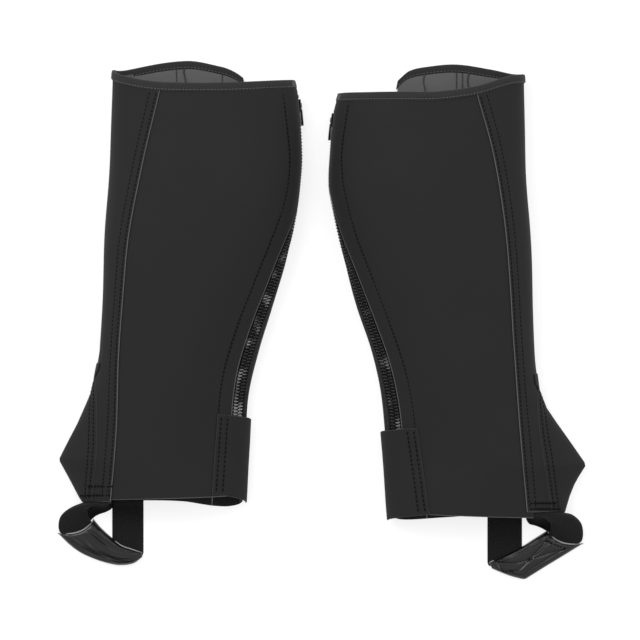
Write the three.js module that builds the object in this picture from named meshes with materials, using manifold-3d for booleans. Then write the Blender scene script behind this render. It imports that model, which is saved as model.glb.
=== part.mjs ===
// A pair of riding half chaps (gaiters for the lower leg), lying flat on a table with their outer sides up.
// Millimetres. +X to the right, +Y from ankle to calf, +Z up from the table. The pair is centred on the origin.
// "reach" is the distance from the line between the two gaiters: it grows towards the shin and the toe.
// An angle goes round a leg tube: 0 at the shin fold, a quarter turn on the crown, a half turn at the rear fold,
// and negative angles lie on the side against the table.
import * as THREE from "three";
import { mergeVertices } from "three/addons/utils/BufferGeometryUtils.js";
import Module from "manifold-3d";

const wasm = await Module();
wasm.setup();

// Cloth, webbing and zip sizes
const wall = 2.0; // how far the outer panels stand out from the tube's middle surface
const panelInside = 0.1;
const stretchThickness = 1.6;
const liningOutside = -0.7;
const liningThickness = 1.0;
const seamGap = 0.5;
const toeGap = 1.8; // round the toe piece
const bindingWidth = 8.5;
const bindingInside = -1.8;
const chainHalfWidth = 5.4;
const teethInside = -0.5;
const chainTop = 2.6;
const chainInset = 0.9; // from the outer panel's cut edge to the zip's outer row of teeth
const chainGap = 0.4; // between the two rows of teeth
const tapeUnder = 14; // zip tape hidden under each panel
const tapeOutside = -1.45;
const tapeThickness = 0.9;
const guardOutside = -3.4;
const guardThickness = 1.0;
const tabThickness = 1.8;
const elasticThickness = 1.6;
const sleeveThickness = 7;
const sliderLength = 13;
const sliderWidth = 8.4;
const pullLength = 16;
const pullWidth = 6;
const pullThickness = 1.0;
const foldInset = 3.5; // how much further in the lining turns at the shin fold
const noseStart = 0.84; // the share of the half width where the underside starts to rise
const tabLift = 0.6; // from the outer panel to the tab at its stitched edge
const tabRise = 1.9; // and this much more over the zip
const patchInset = 6; // from the tab's ends to its hook patch
const patchWidth = 10;
const hookInside = 3.3;
const hookOutside = 4.15;
const loopInside = 2.2;
const loopOutside = 2.95;
const loopReach = 7; // of the loop patch, in front of the rear fold
const tabPastRear = 1.5;
const tapePastTeeth = 14; // below the teeth at the ankle
const tapePastStop = 3; // above the zip's top end
const boxLength = 12;
const stopLength = 3;
const stopPastTop = 1;
const teethUnderSlider = 4; // from the slider's lower end down to the last tooth
const guardPastTeeth = 8;
const guardUnderPanel = 6;
const guardDrop = 8; // from the tape's top end
const sliderClear = 0.6; // over the teeth
const sliderPlate = 1.0;
const sliderDrop = 2.5; // from the zip's top end
const lugHeight = 1.2;
const lugHalf = 2.5;
const pullGap = 0.8; // between the slider's lug and the pull
const pullClear = 0.15; // between the slider's plate and the pull
const toeDrop = 10; // from where the toe curve starts to the toe piece's top edge
const underLap = 0.5; // the tab's front edge behind its fold line
const shinFoldEnd = -0.6; // the angle where the level front edge gives way to the ankle opening's curve
const beyondToe = 300; // limits for a cutting block that is larger than a gaiter
const belowAll = -20;
const aboveAll = 120;

// Every patch has vertices at these heights up the leg, so neighbours follow the same curve.
const rows = [-155, -110, -86, -54, -20, 15, 50, 78, 102, 126, 150, 174, 196];

// A smooth curve through [x, value] points, in order of x.
function smooth(points) {
  const slopes = points.map((point, i) => {
    const before = points[Math.max(i - 1, 0)];
    const after = points[Math.min(i + 1, points.length - 1)];
    return (after[1] - before[1]) / (after[0] - before[0]);
  });
  return (x) => {
    const last = points.length - 2;
    const found = points.findIndex((point) => point[0] > x) - 1;
    const i = x >= points[last + 1][0] ? last : Math.max(found, 0);
    const span = points[i + 1][0] - points[i][0];
    const t = (x - points[i][0]) / span;
    if (t < 0) return points[i][1] + slopes[i] * span * t;
    if (t > 1) return points[i + 1][1] + slopes[i + 1] * span * (t - 1);
    const eased = t * t * (3 - 2 * t);
    const lead = span * t * (1 - t) * (slopes[i] * (1 - t) - slopes[i + 1] * t);
    return points[i][1] * (1 - eased) + points[i + 1][1] * eased + lead;
  };
}

// Straight stretches between [x, value] points, in order of x.
function straight(points) {
  return (x) => {
    const last = points.length - 2;
    const found = points.findIndex((point) => point[0] > x) - 1;
    const i = x >= points[last + 1][0] ? last : Math.max(found, 0);
    const t = (x - points[i][0]) / (points[i + 1][0] - points[i][0]);
    return THREE.MathUtils.lerp(points[i][1], points[i + 1][1], THREE.MathUtils.clamp(t, 0, 1));
  };
}

// How the tube arches, the same for both gaiters: height up the leg against millimetres or a fullness.
const crown = smooth([[-190, 44], [-110, 46], [0, 54], [110, 60], [180, 56], [245, 50]]);
const shinHeight = smooth([[-190, 9], [-132, 8], [-60, 11], [40, 16], [240, 17]]);
const rearHeight = smooth([[-190, 11], [-60, 12], [80, 16], [240, 16]]);
const shinFullness = smooth([[-190, 1.6], [-132, 1.45], [-60, 1.9], [20, 2.2], [240, 2.2]]);
const rearFullness = smooth([[-190, 1.7], [0, 1.7], [120, 2.2], [240, 2.2]]);

const left = {
  name: "left",
  side: -1,
  shin: smooth([[-200, 216], [-60, 217], [-28, 211.4], [87, 205.7], [158, 201], [236, 199]]),
  toe: straight([[-172, 227], [-166, 231], [-132, 249.3], [-99, 232.3], [-70, 220], [-54, 216], [-30, 211.6]]),
  rear: smooth([[-171, 75], [-120, 72], [-70, 69], [-28, 59], [15, 46], [58, 33], [101, 24.2], [129, 20.4],
    [158, 18.5], [214, 22.3], [228, 26]]),
  shinSeam: smooth([[-169, 199], [-107, 193.8], [-40, 191.4], [20, 187.6], [85, 181], [149, 168.6], [219, 152.5]]),
  zipEdge: smooth([[-165, 88], [-112, 87], [-56, 82.2], [-5.7, 67.9], [39, 50.8], [87, 31.8], [113, 23.3],
    [138, 19], [162, 18.5], [227, 26]]),
  toeSeam: smooth([[-165, 216.1], [-121, 212.3], [-89, 212.3], [-47, 213.3]]),
  farShinSeam: smooth([[-171, 196], [-40, 190], [85, 172], [220, 135]]),
  stretchSeam: smooth([[-176, 104], [-70, 99], [15, 86], [101, 74], [225, 74]]),
  nearTop: smooth([[0, 239], [0.55, 232.5], [1.06, 227], [1.75, 226.2], [2.5, 228.5], [3.14, 229.5]]),
  farTop: smooth([
    [-2.1, 231.5], [-1.93, 237.5], [-1.8, 241.5], [-1.4, 248], [-0.5, 239], [0, 239],
  ]),
  stretchTop: straight([[-3.14, 222], [-2, 214]]),
  frontBottom: -171.5,
  nearBottom: smooth([[0.5, -170.5], [2, -168], [3.14, -165]]),
  farBottom: smooth([
    [-3.14, -172.5], [-2.6, -176.5], [-2.3, -176.2], [-2.1, -174.6],
    [-1.85, -172], [-1.5, -171], [-0.6, -171.5],
  ]),
  tabFront: { bottom: [-165.3, 105], top: [-85.5, 99.3] },
  tabTop: straight([[1.6, -84], [3.2, -93]]),
  tabBottom: straight([[2.1, -165.3], [2.4, -165.6], [3.2, -173]]),
  strapInner: [[199, -172.5], [201, -181], [211, -184.5], [218, -189.6]],
  strapOuter: [[226, -172.5], [240, -178.5], [249, -187], [250.8, -202]],
  farElastic: { inner: 169.6, outer: 199.5 },
  sleeve: [[251.2, -202.6], [217.4, -190.4], [199, -207.5], [170.5, -218], [172, -228], [194, -233], [230, -221]],
  toeStart: -30,
  toeTip: -132,
  zipTop: 214,
  zipBottom: -112,
};

const right = {
  name: "right",
  side: 1,
  shin: smooth([[-60, 206], [-28, 203], [44, 200.9], [87, 198.3], [150, 194], [236, 193]]),
  toe: straight([[-184, 230.5], [-166, 236.1], [-155, 240.6], [-147, 245], [-137, 251.2], [-99, 224.5], [-84, 214.5], [-66, 207.5], [-40, 203.8]]),
  rear: smooth([[-185, 66], [-120, 61], [-70, 56.5], [-28, 47], [15, 32.8], [58, 21.4], [101, 12],
    [129, 7.1], [158, 8.1], [199, 12], [217, 17]]),
  shinSeam: smooth([[-180, 194.3], [-107, 187.6], [-22, 181], [31, 178.1], [102, 171.5], [162, 161], [215, 146.8]]),
  zipEdge: smooth([[-182, 80], [-94, 76], [-47, 67.5], [1.4, 51.4], [42, 35.9], [79, 21.8], [113, 12.3],
    [138, 8], [162, 7.5], [214, 15]]),
  toeSeam: smooth([[-169, 215.2], [-129, 209.5], [-104, 205.7], [-76, 203.8], [-56, 205]]),
  farShinSeam: smooth([[-180, 194], [-40, 184], [85, 166], [220, 130]]),
  stretchSeam: smooth([[-186, 100], [-70, 92], [15, 76], [101, 68], [225, 72]]),
  nearTop: smooth([[0, 235], [0.57, 232.8], [1.11, 222.3], [1.54, 217.6], [1.91, 217.6], [3.14, 216.6]]),
  farTop: smooth([
    [-2.12, 226], [-2.06, 228.5], [-1.97, 232.5], [-1.865, 236.5], [-1.657, 241.5], [-1.33, 244.6],
    [-0.89, 240], [-0.48, 235.5], [0, 235],
  ]),
  stretchTop: straight([[-3.14, 210], [-2, 206]]),
  frontBottom: -181.5,
  nearBottom: smooth([[0.5, -188], [1.5, -186], [3.14, -181]]),
  farBottom: smooth([[-3.14, -182], [-2.2, -185], [-1.6, -184], [-0.6, -181.5]]),
  tabFront: { bottom: [-180.5, 103], top: [-99.8, 91.7] },
  tabTop: straight([[1.6, -98.5], [3.2, -105]]),
  tabBottom: straight([[1.6, -181], [3.2, -189.5]]),
  strapInner: [[196, -182.5], [198, -192.5], [207, -196.5], [215, -199.6]],
  strapOuter: [[230, -182.5], [240, -185], [248, -194], [249.3, -211.4]],
  farElastic: { inner: 158.2, outer: 191.2 },
  sleeve: [[249.5, -212], [235, -212], [224, -208], [215.5, -200.2], [191.4, -214.7], [162, -229], [162, -237],
    [168, -241], [194.5, -246]],
  toeStart: -40,
  toeTip: -137,
  zipTop: 200,
  zipBottom: -126,
};

const cloth = (name, colour, roughness) => {
  const material = new THREE.MeshStandardMaterial({ color: colour, roughness });
  material.name = name;
  return material;
};
const panelCloth = cloth("panel", 0x303030, 0.85);
const stretchCloth = cloth("stretch", 0x1c1c1c, 0.9);
const liningCloth = cloth("lining", 0x606060, 0.95);
const bindingCloth = cloth("binding", 0x343434, 0.8);
const zipPlastic = cloth("zip", 0x202020, 0.45);
const tapeCloth = cloth("tape", 0x181818, 0.9);
const sleeveVinyl = cloth("vinyl", 0x202020, 0.35);
const hookAndLoop = cloth("hook and loop", 0x141414, 0.95);

const pair = new THREE.Group();

function add(gaiter, name, geometry, material) {
  const mesh = new THREE.Mesh(geometry, material);
  mesh.name = gaiter.name + "_" + name;
  pair.add(mesh);
  return mesh;
}

// The tube's width at a height: its middle and half its width, inside the outer panels.
function widthAt(gaiter, y) {
  const front = Math.max(gaiter.shin(y), y < gaiter.toeStart ? gaiter.toe(y) : 0) - wall;
  const rear = gaiter.rear(y) + wall;
  return { middle: (front + rear) / 2, half: (front - rear) / 2 };
}

// A point on the tube's middle surface: a superellipse over the crown, flat on the table with rounded noses.
function pointOn(gaiter, angle, y) {
  const { middle, half } = widthAt(gaiter, y);
  const s = Math.cos(angle);
  const nose = THREE.MathUtils.lerp(rearHeight(y), shinHeight(y), (1 + s) / 2);
  let z;
  if (Math.sin(angle) >= 0) {
    const fullness = s > 0 ? shinFullness(y) : rearFullness(y);
    z = nose + (crown(y) - nose) * Math.pow(Math.max(1 - Math.pow(Math.abs(s), fullness), 0), 1 / fullness);
  } else {
    const rise = Math.max(0, (Math.abs(s) - noseStart) / (1 - noseStart));
    z = wall + (nose - wall) * (1 - Math.pow(Math.max(1 - Math.pow(rise, 2.5), 0), 1 / 2.5));
  }
  return new THREE.Vector3(gaiter.side * (middle + half * s), y, z);
}

function outwardAt(gaiter, angle, y) {
  const round = pointOn(gaiter, angle + 0.03, y).sub(pointOn(gaiter, angle - 0.03, y));
  const up = pointOn(gaiter, angle, y + 1).sub(pointOn(gaiter, angle, y - 1));
  return up.cross(round).multiplyScalar(gaiter.side).normalize();
}

function offsetPoint(gaiter, angle, y, offset) {
  return pointOn(gaiter, angle, y).addScaledVector(outwardAt(gaiter, angle, y), offset);
}

// The angle of a reach on the upper side of the tube.
function angleOf(gaiter, reach, y) {
  const { middle, half } = widthAt(gaiter, y);
  return Math.acos(THREE.MathUtils.clamp((reach - middle) / half, -1, 1));
}

// The angle that lies a distance further round the tube, measured along the surface.
function stepRound(gaiter, angle, y, distance) {
  const steps = Math.max(1, Math.ceil(Math.abs(distance) * 2));
  let at = angle;
  for (let i = 0; i < steps; i += 1) {
    const here = pointOn(gaiter, at - 0.02, y);
    const rate = here.distanceTo(pointOn(gaiter, at + 0.02, y)) / 0.04;
    at += distance / steps / Math.max(rate, 4);
  }
  return at;
}

const rear = (gaiter, distance) => (y) => stepRound(gaiter, angleOf(gaiter, gaiter.zipEdge(y), y), y, distance);
const shin = (gaiter, distance) => (y) => stepRound(gaiter, angleOf(gaiter, gaiter.shinSeam(y), y), y, distance);
const farShin = (gaiter, distance) => (y) =>
  stepRound(gaiter, -angleOf(gaiter, gaiter.farShinSeam(y), y), y, distance);
const farStretch = (gaiter, distance) => (y) =>
  stepRound(gaiter, -angleOf(gaiter, gaiter.stretchSeam(y), y), y, distance);

// The height that a row has at an angle, between an edge below and an edge above.
function rowHeights(bottom, top, inner) {
  return [bottom, ...inner.map((y) => () => y), top];
}

// A closed slab between two grids of points, one inside the other.
function slab(insideGrid, outsideGrid, flip) {
  const across = insideGrid.length;
  const along = insideGrid[0].length;
  const positions = [];
  const quad = (a, b, c, d) => {
    const order = flip ? [a, c, b, a, d, c] : [a, b, c, a, c, d];
    order.forEach((p) => positions.push(p.x, p.y, p.z));
  };
  for (let i = 0; i < across - 1; i += 1) {
    for (let j = 0; j < along - 1; j += 1) {
      const o = outsideGrid;
      const n = insideGrid;
      quad(o[i][j], o[i + 1][j], o[i + 1][j + 1], o[i][j + 1]);
      quad(n[i][j], n[i][j + 1], n[i + 1][j + 1], n[i + 1][j]);
    }
  }
  for (let j = 0; j < along - 1; j += 1) {
    const last = across - 1;
    quad(insideGrid[0][j], outsideGrid[0][j], outsideGrid[0][j + 1], insideGrid[0][j + 1]);
    quad(outsideGrid[last][j], insideGrid[last][j], insideGrid[last][j + 1], outsideGrid[last][j + 1]);
  }
  for (let i = 0; i < across - 1; i += 1) {
    const last = along - 1;
    quad(outsideGrid[i][0], insideGrid[i][0], insideGrid[i + 1][0], outsideGrid[i + 1][0]);
    quad(insideGrid[i][last], outsideGrid[i][last], outsideGrid[i + 1][last], insideGrid[i + 1][last]);
  }
  const geometry = new THREE.BufferGeometry();
  geometry.setAttribute("position", new THREE.Float32BufferAttribute(positions, 3));
  return geometry;
}

// A piece of the tube's wall, from one edge round to another and from a bottom edge up to a top edge.
// from and to give an angle at a height, bottom and top give a height at an angle.
function wallPiece(gaiter, { from, to, bottom, top, inside, outside, columns }) {
  const lowest = Math.max(bottom(from(bottom(0))), bottom(to(bottom(0))));
  const highest = Math.min(top(from(top(0))), top(to(top(0))));
  const between = [...rows, gaiter.toeTip].sort((a, b) => a - b).filter((y) => y > lowest + 6 && y < highest - 6);
  const heights = rowHeights(bottom, top, between);
  const edgeAngle = (edge, height) => {
    let y = height(0);
    for (let i = 0; i < 4; i += 1) y = height(edge(y));
    return edge(y);
  };
  const grid = (offset) =>
    Array.from({ length: columns + 1 }, (_, i) =>
      heights.map((height) => {
        const share = i / columns;
        const angle = THREE.MathUtils.lerp(edgeAngle(from, height), edgeAngle(to, height), share);
        return offsetPoint(gaiter, angle, height(angle), offset(share, angle));
      }),
    );
  return slab(grid(inside), grid(outside), gaiter.side > 0);
}

const level = (value) => () => value;

// An outline of [reach, y] points, extruded straight up from one height to another.
function prism(gaiter, outline, from, to) {
  const shape = new THREE.Shape(outline.map(([reach, y]) => new THREE.Vector2(gaiter.side * reach, y)));
  const geometry = new THREE.ExtrudeGeometry(shape, { depth: to - from, bevelEnabled: false });
  return geometry.translate(0, 0, from);
}

function solidOf(geometry) {
  const bare = new THREE.BufferGeometry().setAttribute("position", geometry.getAttribute("position"));
  const merged = mergeVertices(bare, 1e-4);
  return new wasm.Manifold(
    new wasm.Mesh({
      numProp: 3,
      vertProperties: merged.getAttribute("position").array,
      triVerts: new Uint32Array(merged.index.array),
    }),
  );
}

function geometryOf(solid) {
  const mesh = solid.getMesh();
  const geometry = new THREE.BufferGeometry();
  geometry.setAttribute("position", new THREE.BufferAttribute(new Float32Array(mesh.vertProperties), 3));
  geometry.setIndex(new THREE.BufferAttribute(new Uint32Array(mesh.triVerts), 1));
  return geometry;
}

function addOuterSide(gaiter) {
  const under = (angle) => gaiter.nearTop(angle) - bindingWidth - seamGap;
  const main = {
    from: shin(gaiter, seamGap),
    to: rear(gaiter, 0),
    bottom: gaiter.nearBottom,
    top: under,
    inside: level(panelInside),
    outside: level(wall),
    columns: 9,
  };
  add(gaiter, "outer_side_panel", wallPiece(gaiter, main), panelCloth);
  const lining = {
    ...main,
    to: rear(gaiter, -tapeUnder - seamGap),
    inside: level(liningOutside - liningThickness),
    outside: level(liningOutside),
    columns: 8,
  };
  add(gaiter, "outer_lining", wallPiece(gaiter, lining), liningCloth);
  const binding = {
    ...main,
    bottom: (angle) => gaiter.nearTop(angle) - bindingWidth,
    top: gaiter.nearTop,
    inside: level(bindingInside),
  };
  add(gaiter, "outer_top_binding", wallPiece(gaiter, binding), bindingCloth);
}

function addInnerSide(gaiter) {
  const topEdge = (angle) => (angle >= 0 ? gaiter.nearTop(angle) : gaiter.farTop(angle));
  const under = (angle) => topEdge(angle) - bindingWidth - 3 * seamGap;
  const bottomEdge = (angle) => (angle > shinFoldEnd ? gaiter.frontBottom : gaiter.farBottom(angle));
  const front = {
    from: farShin(gaiter, seamGap),
    to: shin(gaiter, -seamGap),
    bottom: bottomEdge,
    top: under,
    inside: level(panelInside),
    outside: level(wall),
    columns: 9,
  };
  const toeTop = gaiter.toeStart - toeDrop;
  const nearToe = (distance) => (y) => stepRound(gaiter, angleOf(gaiter, gaiter.toeSeam(y), y), y, distance);
  const farToe = (distance) => (y) => -nearToe(distance)(y);
  const toe = {
    from: farToe(-seamGap),
    to: nearToe(-seamGap),
    bottom: level(gaiter.frontBottom),
    top: level(toeTop),
    inside: level(panelInside),
    outside: level(wall),
    columns: 8,
  };
  const below = gaiter.frontBottom - 20;
  const seamRows = [below, ...rows, gaiter.toeTip].sort((a, b) => a - b).filter((y) => y < toeTop);
  const seamLine = seamRows.map((y) => [gaiter.toeSeam(y) - toeGap, y]);
  const corners = [[gaiter.toeSeam(toeTop) - toeGap, toeTop + toeGap], [beyondToe, toeTop + toeGap],
    [beyondToe, below]];
  const notch = prism(gaiter, [...seamLine, ...corners], belowAll, aboveAll);
  const notched = solidOf(wallPiece(gaiter, front)).subtract(solidOf(notch));
  const largest = notched.decompose().reduce((a, b) => (a.volume() > b.volume() ? a : b));
  add(gaiter, "front_panel", geometryOf(largest), panelCloth);
  add(gaiter, "toe_piece", wallPiece(gaiter, toe), panelCloth);

  const inner = {
    ...front,
    from: farStretch(gaiter, seamGap),
    to: farShin(gaiter, -seamGap),
    columns: 8,
  };
  add(gaiter, "inner_side_panel", wallPiece(gaiter, inner), panelCloth);
  const inset = (angle) => liningOutside - foldInset * Math.exp(-4 * angle * angle);
  const lining = {
    ...inner,
    to: shin(gaiter, -seamGap),
    inside: (share, angle) => inset(angle) - liningThickness,
    outside: (share, angle) => inset(angle),
    columns: 15,
  };
  add(gaiter, "inner_lining", wallPiece(gaiter, lining), liningCloth);
  const binding = {
    ...lining,
    bottom: (angle) => topEdge(angle) - bindingWidth,
    top: topEdge,
    inside: level(bindingInside),
    outside: level(wall),
  };
  add(gaiter, "inner_top_binding", wallPiece(gaiter, binding), bindingCloth);

  const turn = 2 * Math.PI;
  const stretch = {
    from: rear(gaiter, chainInset + 2 * chainHalfWidth + chainGap + 1),
    to: (y) => farStretch(gaiter, -seamGap)(y) + turn,
    bottom: (angle) => gaiter.farBottom(angle - turn),
    top: (angle) => gaiter.stretchTop(angle - turn),
    inside: level(panelInside),
    outside: level(stretchThickness),
    columns: 12,
  };
  add(gaiter, "stretch_panel", wallPiece(gaiter, stretch), stretchCloth);
}

// The zip: two tapes, two rows of teeth, the stops at the calf, and the pin and box at the ankle.
function addZip(gaiter) {
  const outerRow = { start: chainInset, end: chainInset + chainHalfWidth };
  const innerRow = { start: outerRow.end + chainGap, end: outerRow.end + chainGap + chainHalfWidth };
  const zipPiece = (start, end, bottom, top, inside, outside, columns = 1) =>
    wallPiece(gaiter, {
      from: rear(gaiter, start),
      to: rear(gaiter, end),
      bottom: level(bottom),
      top: level(top),
      inside: level(inside),
      outside: level(outside),
      columns,
    });
  const { zipTop, zipBottom } = gaiter;
  const tapeInside = tapeOutside - tapeThickness;
  const ankleEnd = zipBottom - tapePastTeeth;
  const tapeTop = zipTop + tapePastStop;
  add(gaiter, "outer_zip_tape",
    zipPiece(-tapeUnder, outerRow.end, ankleEnd, tapeTop, tapeInside, tapeOutside, 2), tapeCloth);
  add(gaiter, "inner_zip_tape",
    zipPiece(innerRow.start, innerRow.end + tapeUnder, ankleEnd, tapeTop, tapeInside, tapeOutside, 4), tapeCloth);
  const teethTop = zipTop - sliderLength - teethUnderSlider;
  add(gaiter, "outer_zip_teeth",
    zipPiece(outerRow.start, outerRow.end, zipBottom, teethTop, teethInside, chainTop), zipPlastic);
  add(gaiter, "inner_zip_teeth",
    zipPiece(innerRow.start, innerRow.end, zipBottom, teethTop, teethInside, chainTop), zipPlastic);
  const stopTop = zipTop + stopPastTop;
  const stopBottom = stopTop - stopLength;
  add(gaiter, "outer_zip_stop",
    zipPiece(outerRow.start + 2, outerRow.end, stopBottom, stopTop, teethInside, chainTop), zipPlastic);
  add(gaiter, "inner_zip_stop",
    zipPiece(innerRow.start, innerRow.end, stopBottom, stopTop, teethInside, chainTop), zipPlastic);
  const boxTop = zipBottom - seamGap;
  const boxBottom = zipBottom - boxLength;
  add(gaiter, "zip_pin",
    zipPiece(outerRow.start + 1, outerRow.end, boxBottom, boxTop, teethInside, chainTop), zipPlastic);
  add(gaiter, "zip_box",
    zipPiece(innerRow.start, innerRow.end, boxBottom, boxTop, teethInside, chainTop), zipPlastic);
  const guardTop = tapeTop - guardDrop;
  const guardInside = guardOutside - guardThickness;
  add(gaiter, "zip_guard",
    zipPiece(-guardUnderPanel, innerRow.end + guardPastTeeth, ankleEnd, guardTop, guardInside, guardOutside, 5),
    tapeCloth);
}

// The frame that follows the middle of the zip: a point above the teeth, the way up the zip, and outwards.
function zipFrame(gaiter, y, offset) {
  const middle = rear(gaiter, chainInset + chainHalfWidth + chainGap / 2);
  const at = (height) => offsetPoint(gaiter, middle(height), height, offset);
  const along = at(y + 4).sub(at(y - 4)).normalize();
  const outward = outwardAt(gaiter, middle(y), y);
  outward.addScaledVector(along, -outward.dot(along)).normalize();
  const across = new THREE.Vector3().crossVectors(along, outward);
  return new THREE.Matrix4().makeBasis(along, outward, across).setPosition(at(y));
}

// An outline in the plane of "along" and "outward", extruded evenly both ways across the zip.
function acrossZip(outline, width) {
  const shape = new THREE.Shape(outline.map(([x, y]) => new THREE.Vector2(x, y)));
  const geometry = new THREE.ExtrudeGeometry(shape, { depth: width, bevelEnabled: false });
  return geometry.translate(0, 0, -width / 2);
}

function addSlider(gaiter) {
  const half = sliderLength / 2;
  const plate = sliderPlate;
  const lugTop = plate + lugHeight;
  const lugCrest = lugHalf - 0.5;
  const frame = zipFrame(gaiter, gaiter.zipTop - half - sliderDrop, chainTop + sliderClear);
  const outline = [[-half, 0], [half, 0], [half, plate], [lugHalf, plate], [lugCrest, lugTop], [-lugCrest, lugTop],
    [-lugHalf, plate], [-half, plate]];
  add(gaiter, "zip_slider", acrossZip(outline, sliderWidth).applyMatrix4(frame), zipPlastic);
  const start = -lugHalf - pullGap;
  const under = plate + pullClear;
  const pull = [[start - pullLength, under], [start, under], [start, under + pullThickness],
    [start - pullLength, under + pullThickness]];
  add(gaiter, "zip_pull", acrossZip(pull, pullWidth).applyMatrix4(frame), zipPlastic);
}

// The angle and height of the tab's fold line, where it is sewn to the outer panel.
function tabFold(gaiter, y) {
  const { bottom, top } = gaiter.tabFront;
  const reach = THREE.MathUtils.mapLinear(y, bottom[0], top[0], bottom[1], top[1]);
  return angleOf(gaiter, reach, y);
}

function addAnkleTab(gaiter) {
  const rise = (share) => wall + tabLift + tabRise * Math.min(1, share * 2.5);
  const pastRear = (distance) => (y) => stepRound(gaiter, Math.PI, y, distance);
  const tab = {
    from: (y) => stepRound(gaiter, tabFold(gaiter, y), y, underLap),
    to: pastRear(tabPastRear),
    bottom: gaiter.tabBottom,
    top: gaiter.tabTop,
    inside: rise,
    outside: (share) => rise(share) + tabThickness,
    columns: 7,
  };
  add(gaiter, "ankle_tab", wallPiece(gaiter, tab), panelCloth);
  const hook = {
    from: pastRear(tabPastRear - 1 - patchWidth),
    to: pastRear(tabPastRear - 1),
    bottom: (angle) => gaiter.tabBottom(angle) + patchInset,
    top: (angle) => gaiter.tabTop(angle) - patchInset,
    inside: level(hookInside),
    outside: level(hookOutside),
    columns: 3,
  };
  add(gaiter, "hook_patch", wallPiece(gaiter, hook), hookAndLoop);
  const loop = {
    ...hook,
    from: pastRear(-loopReach),
    to: pastRear(patchWidth),
    inside: level(loopInside),
    outside: level(loopOutside),
    columns: 4,
  };
  add(gaiter, "loop_patch", wallPiece(gaiter, loop), hookAndLoop);
}

// The elastic strap under the boot, with the sleeve that takes the wear.
function addStrap(gaiter) {
  const curve = (points) => new THREE.SplineCurve(points.map(([reach, y]) => new THREE.Vector2(reach, y)));
  const inner = curve(gaiter.strapInner);
  const outer = curve(gaiter.strapOuter);
  const along = 8;
  const centre = (share, t) => {
    const p = inner.getPoint(t).lerp(outer.getPoint(t), share);
    const start = pointOn(gaiter, angleOf(gaiter, inner.getPoint(0).lerp(outer.getPoint(0), share).x,
      gaiter.frontBottom), gaiter.frontBottom).z - 1;
    const eased = t * t * (3 - 2 * t);
    return new THREE.Vector3(gaiter.side * p.x, p.y, THREE.MathUtils.lerp(start, sleeveThickness / 2, eased));
  };
  const grid = (offset) =>
    [0, 0.33, 0.67, 1].map((share) =>
      Array.from({ length: along + 1 }, (_, j) => centre(share, j / along).add(new THREE.Vector3(0, 0, offset))),
    );
  const half = elasticThickness / 2;
  add(gaiter, "outer_strap_elastic", slab(grid(-half), grid(half), gaiter.side > 0), stretchCloth);

  const { inner: from, outer: to } = gaiter.farElastic;
  const top = gaiter.frontBottom - 6;
  const edge = (reach) => sleeveEdge(gaiter, reach) + seamGap;
  const web = [[from, top], [to, top], [to, edge(to)], [from, edge(from)]];
  add(gaiter, "inner_strap_elastic", prism(gaiter, web, 0, elasticThickness), stretchCloth);
  add(gaiter, "strap_sleeve", prism(gaiter, gaiter.sleeve, 0, sleeveThickness), sleeveVinyl);
}

// The height of the sleeve's upper edge at a reach.
function sleeveEdge(gaiter, reach) {
  const upper = gaiter.sleeve.filter(([, y], i) => i > 0 && i < gaiter.sleeve.length - 2 && y > -231);
  const sorted = upper.map(([x, y]) => [x, y]).sort((a, b) => a[0] - b[0]);
  return straight(sorted)(reach);
}

for (const gaiter of [left, right]) {
  addOuterSide(gaiter);
  addInnerSide(gaiter);
  addZip(gaiter);
  addSlider(gaiter);
  addAnkleTab(gaiter);
  addStrap(gaiter);
}

export default pair;
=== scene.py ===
import math

import bpy
import numpy as np
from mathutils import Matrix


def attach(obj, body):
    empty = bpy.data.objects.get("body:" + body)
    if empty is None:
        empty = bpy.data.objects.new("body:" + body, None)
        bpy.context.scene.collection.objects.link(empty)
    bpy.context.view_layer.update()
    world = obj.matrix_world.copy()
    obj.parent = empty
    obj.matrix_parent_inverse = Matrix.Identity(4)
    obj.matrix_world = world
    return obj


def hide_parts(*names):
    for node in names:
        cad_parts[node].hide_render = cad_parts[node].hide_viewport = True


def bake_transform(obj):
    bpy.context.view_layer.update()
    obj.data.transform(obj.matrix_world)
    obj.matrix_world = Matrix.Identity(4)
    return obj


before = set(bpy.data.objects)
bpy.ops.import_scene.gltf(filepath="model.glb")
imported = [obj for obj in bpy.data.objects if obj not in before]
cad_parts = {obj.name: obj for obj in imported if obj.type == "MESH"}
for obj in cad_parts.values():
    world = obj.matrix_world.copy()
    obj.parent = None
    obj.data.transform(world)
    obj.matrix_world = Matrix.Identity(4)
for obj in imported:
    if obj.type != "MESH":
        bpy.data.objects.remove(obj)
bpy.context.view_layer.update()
print("frame loaded")

mm = 0.001
wall = 2.0
noseStart = 0.84
hem = 8
rimGap = 5
hemSteps = (0, 0.7, 1.6, 3)
patchInset = 6
cutGap = 0.9
rowWidth = 5.4
rowGap = 0.4
sliderRoom = 17


# A smooth curve through (x, value) points, as an array function. It runs on straight past either end.
def smooth(points):
    xs, values = np.array(points, float).T
    slopes = np.gradient(values, xs)
    slopes[1:-1] = (values[2:] - values[:-2]) / (xs[2:] - xs[:-2])

    def at(x):
        x = np.asarray(x, float)
        i = np.clip(np.searchsorted(xs, x, side="right") - 1, 0, len(xs) - 2)
        span = xs[i + 1] - xs[i]
        t = (x - xs[i]) / span
        eased = t * t * (3 - 2 * t)
        lead = span * t * (1 - t) * (slopes[i] * (1 - t) - slopes[i + 1] * t)
        inside = values[i] * (1 - eased) + values[i + 1] * eased + lead
        before = values[0] + slopes[0] * (x - xs[0])
        after = values[-1] + slopes[-1] * (x - xs[-1])
        return np.where(t < 0, before, np.where(t > 1, after, inside))

    return at


def straight(points):
    xs, values = np.array(points, float).T
    return lambda x: np.interp(x, xs, values)


def level(value):
    return lambda x: np.full_like(np.asarray(x, float), value)


def ease(x, low, high):
    t = np.clip((x - low) / (high - low), 0, 1)
    return t * t * (3 - 2 * t)


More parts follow.
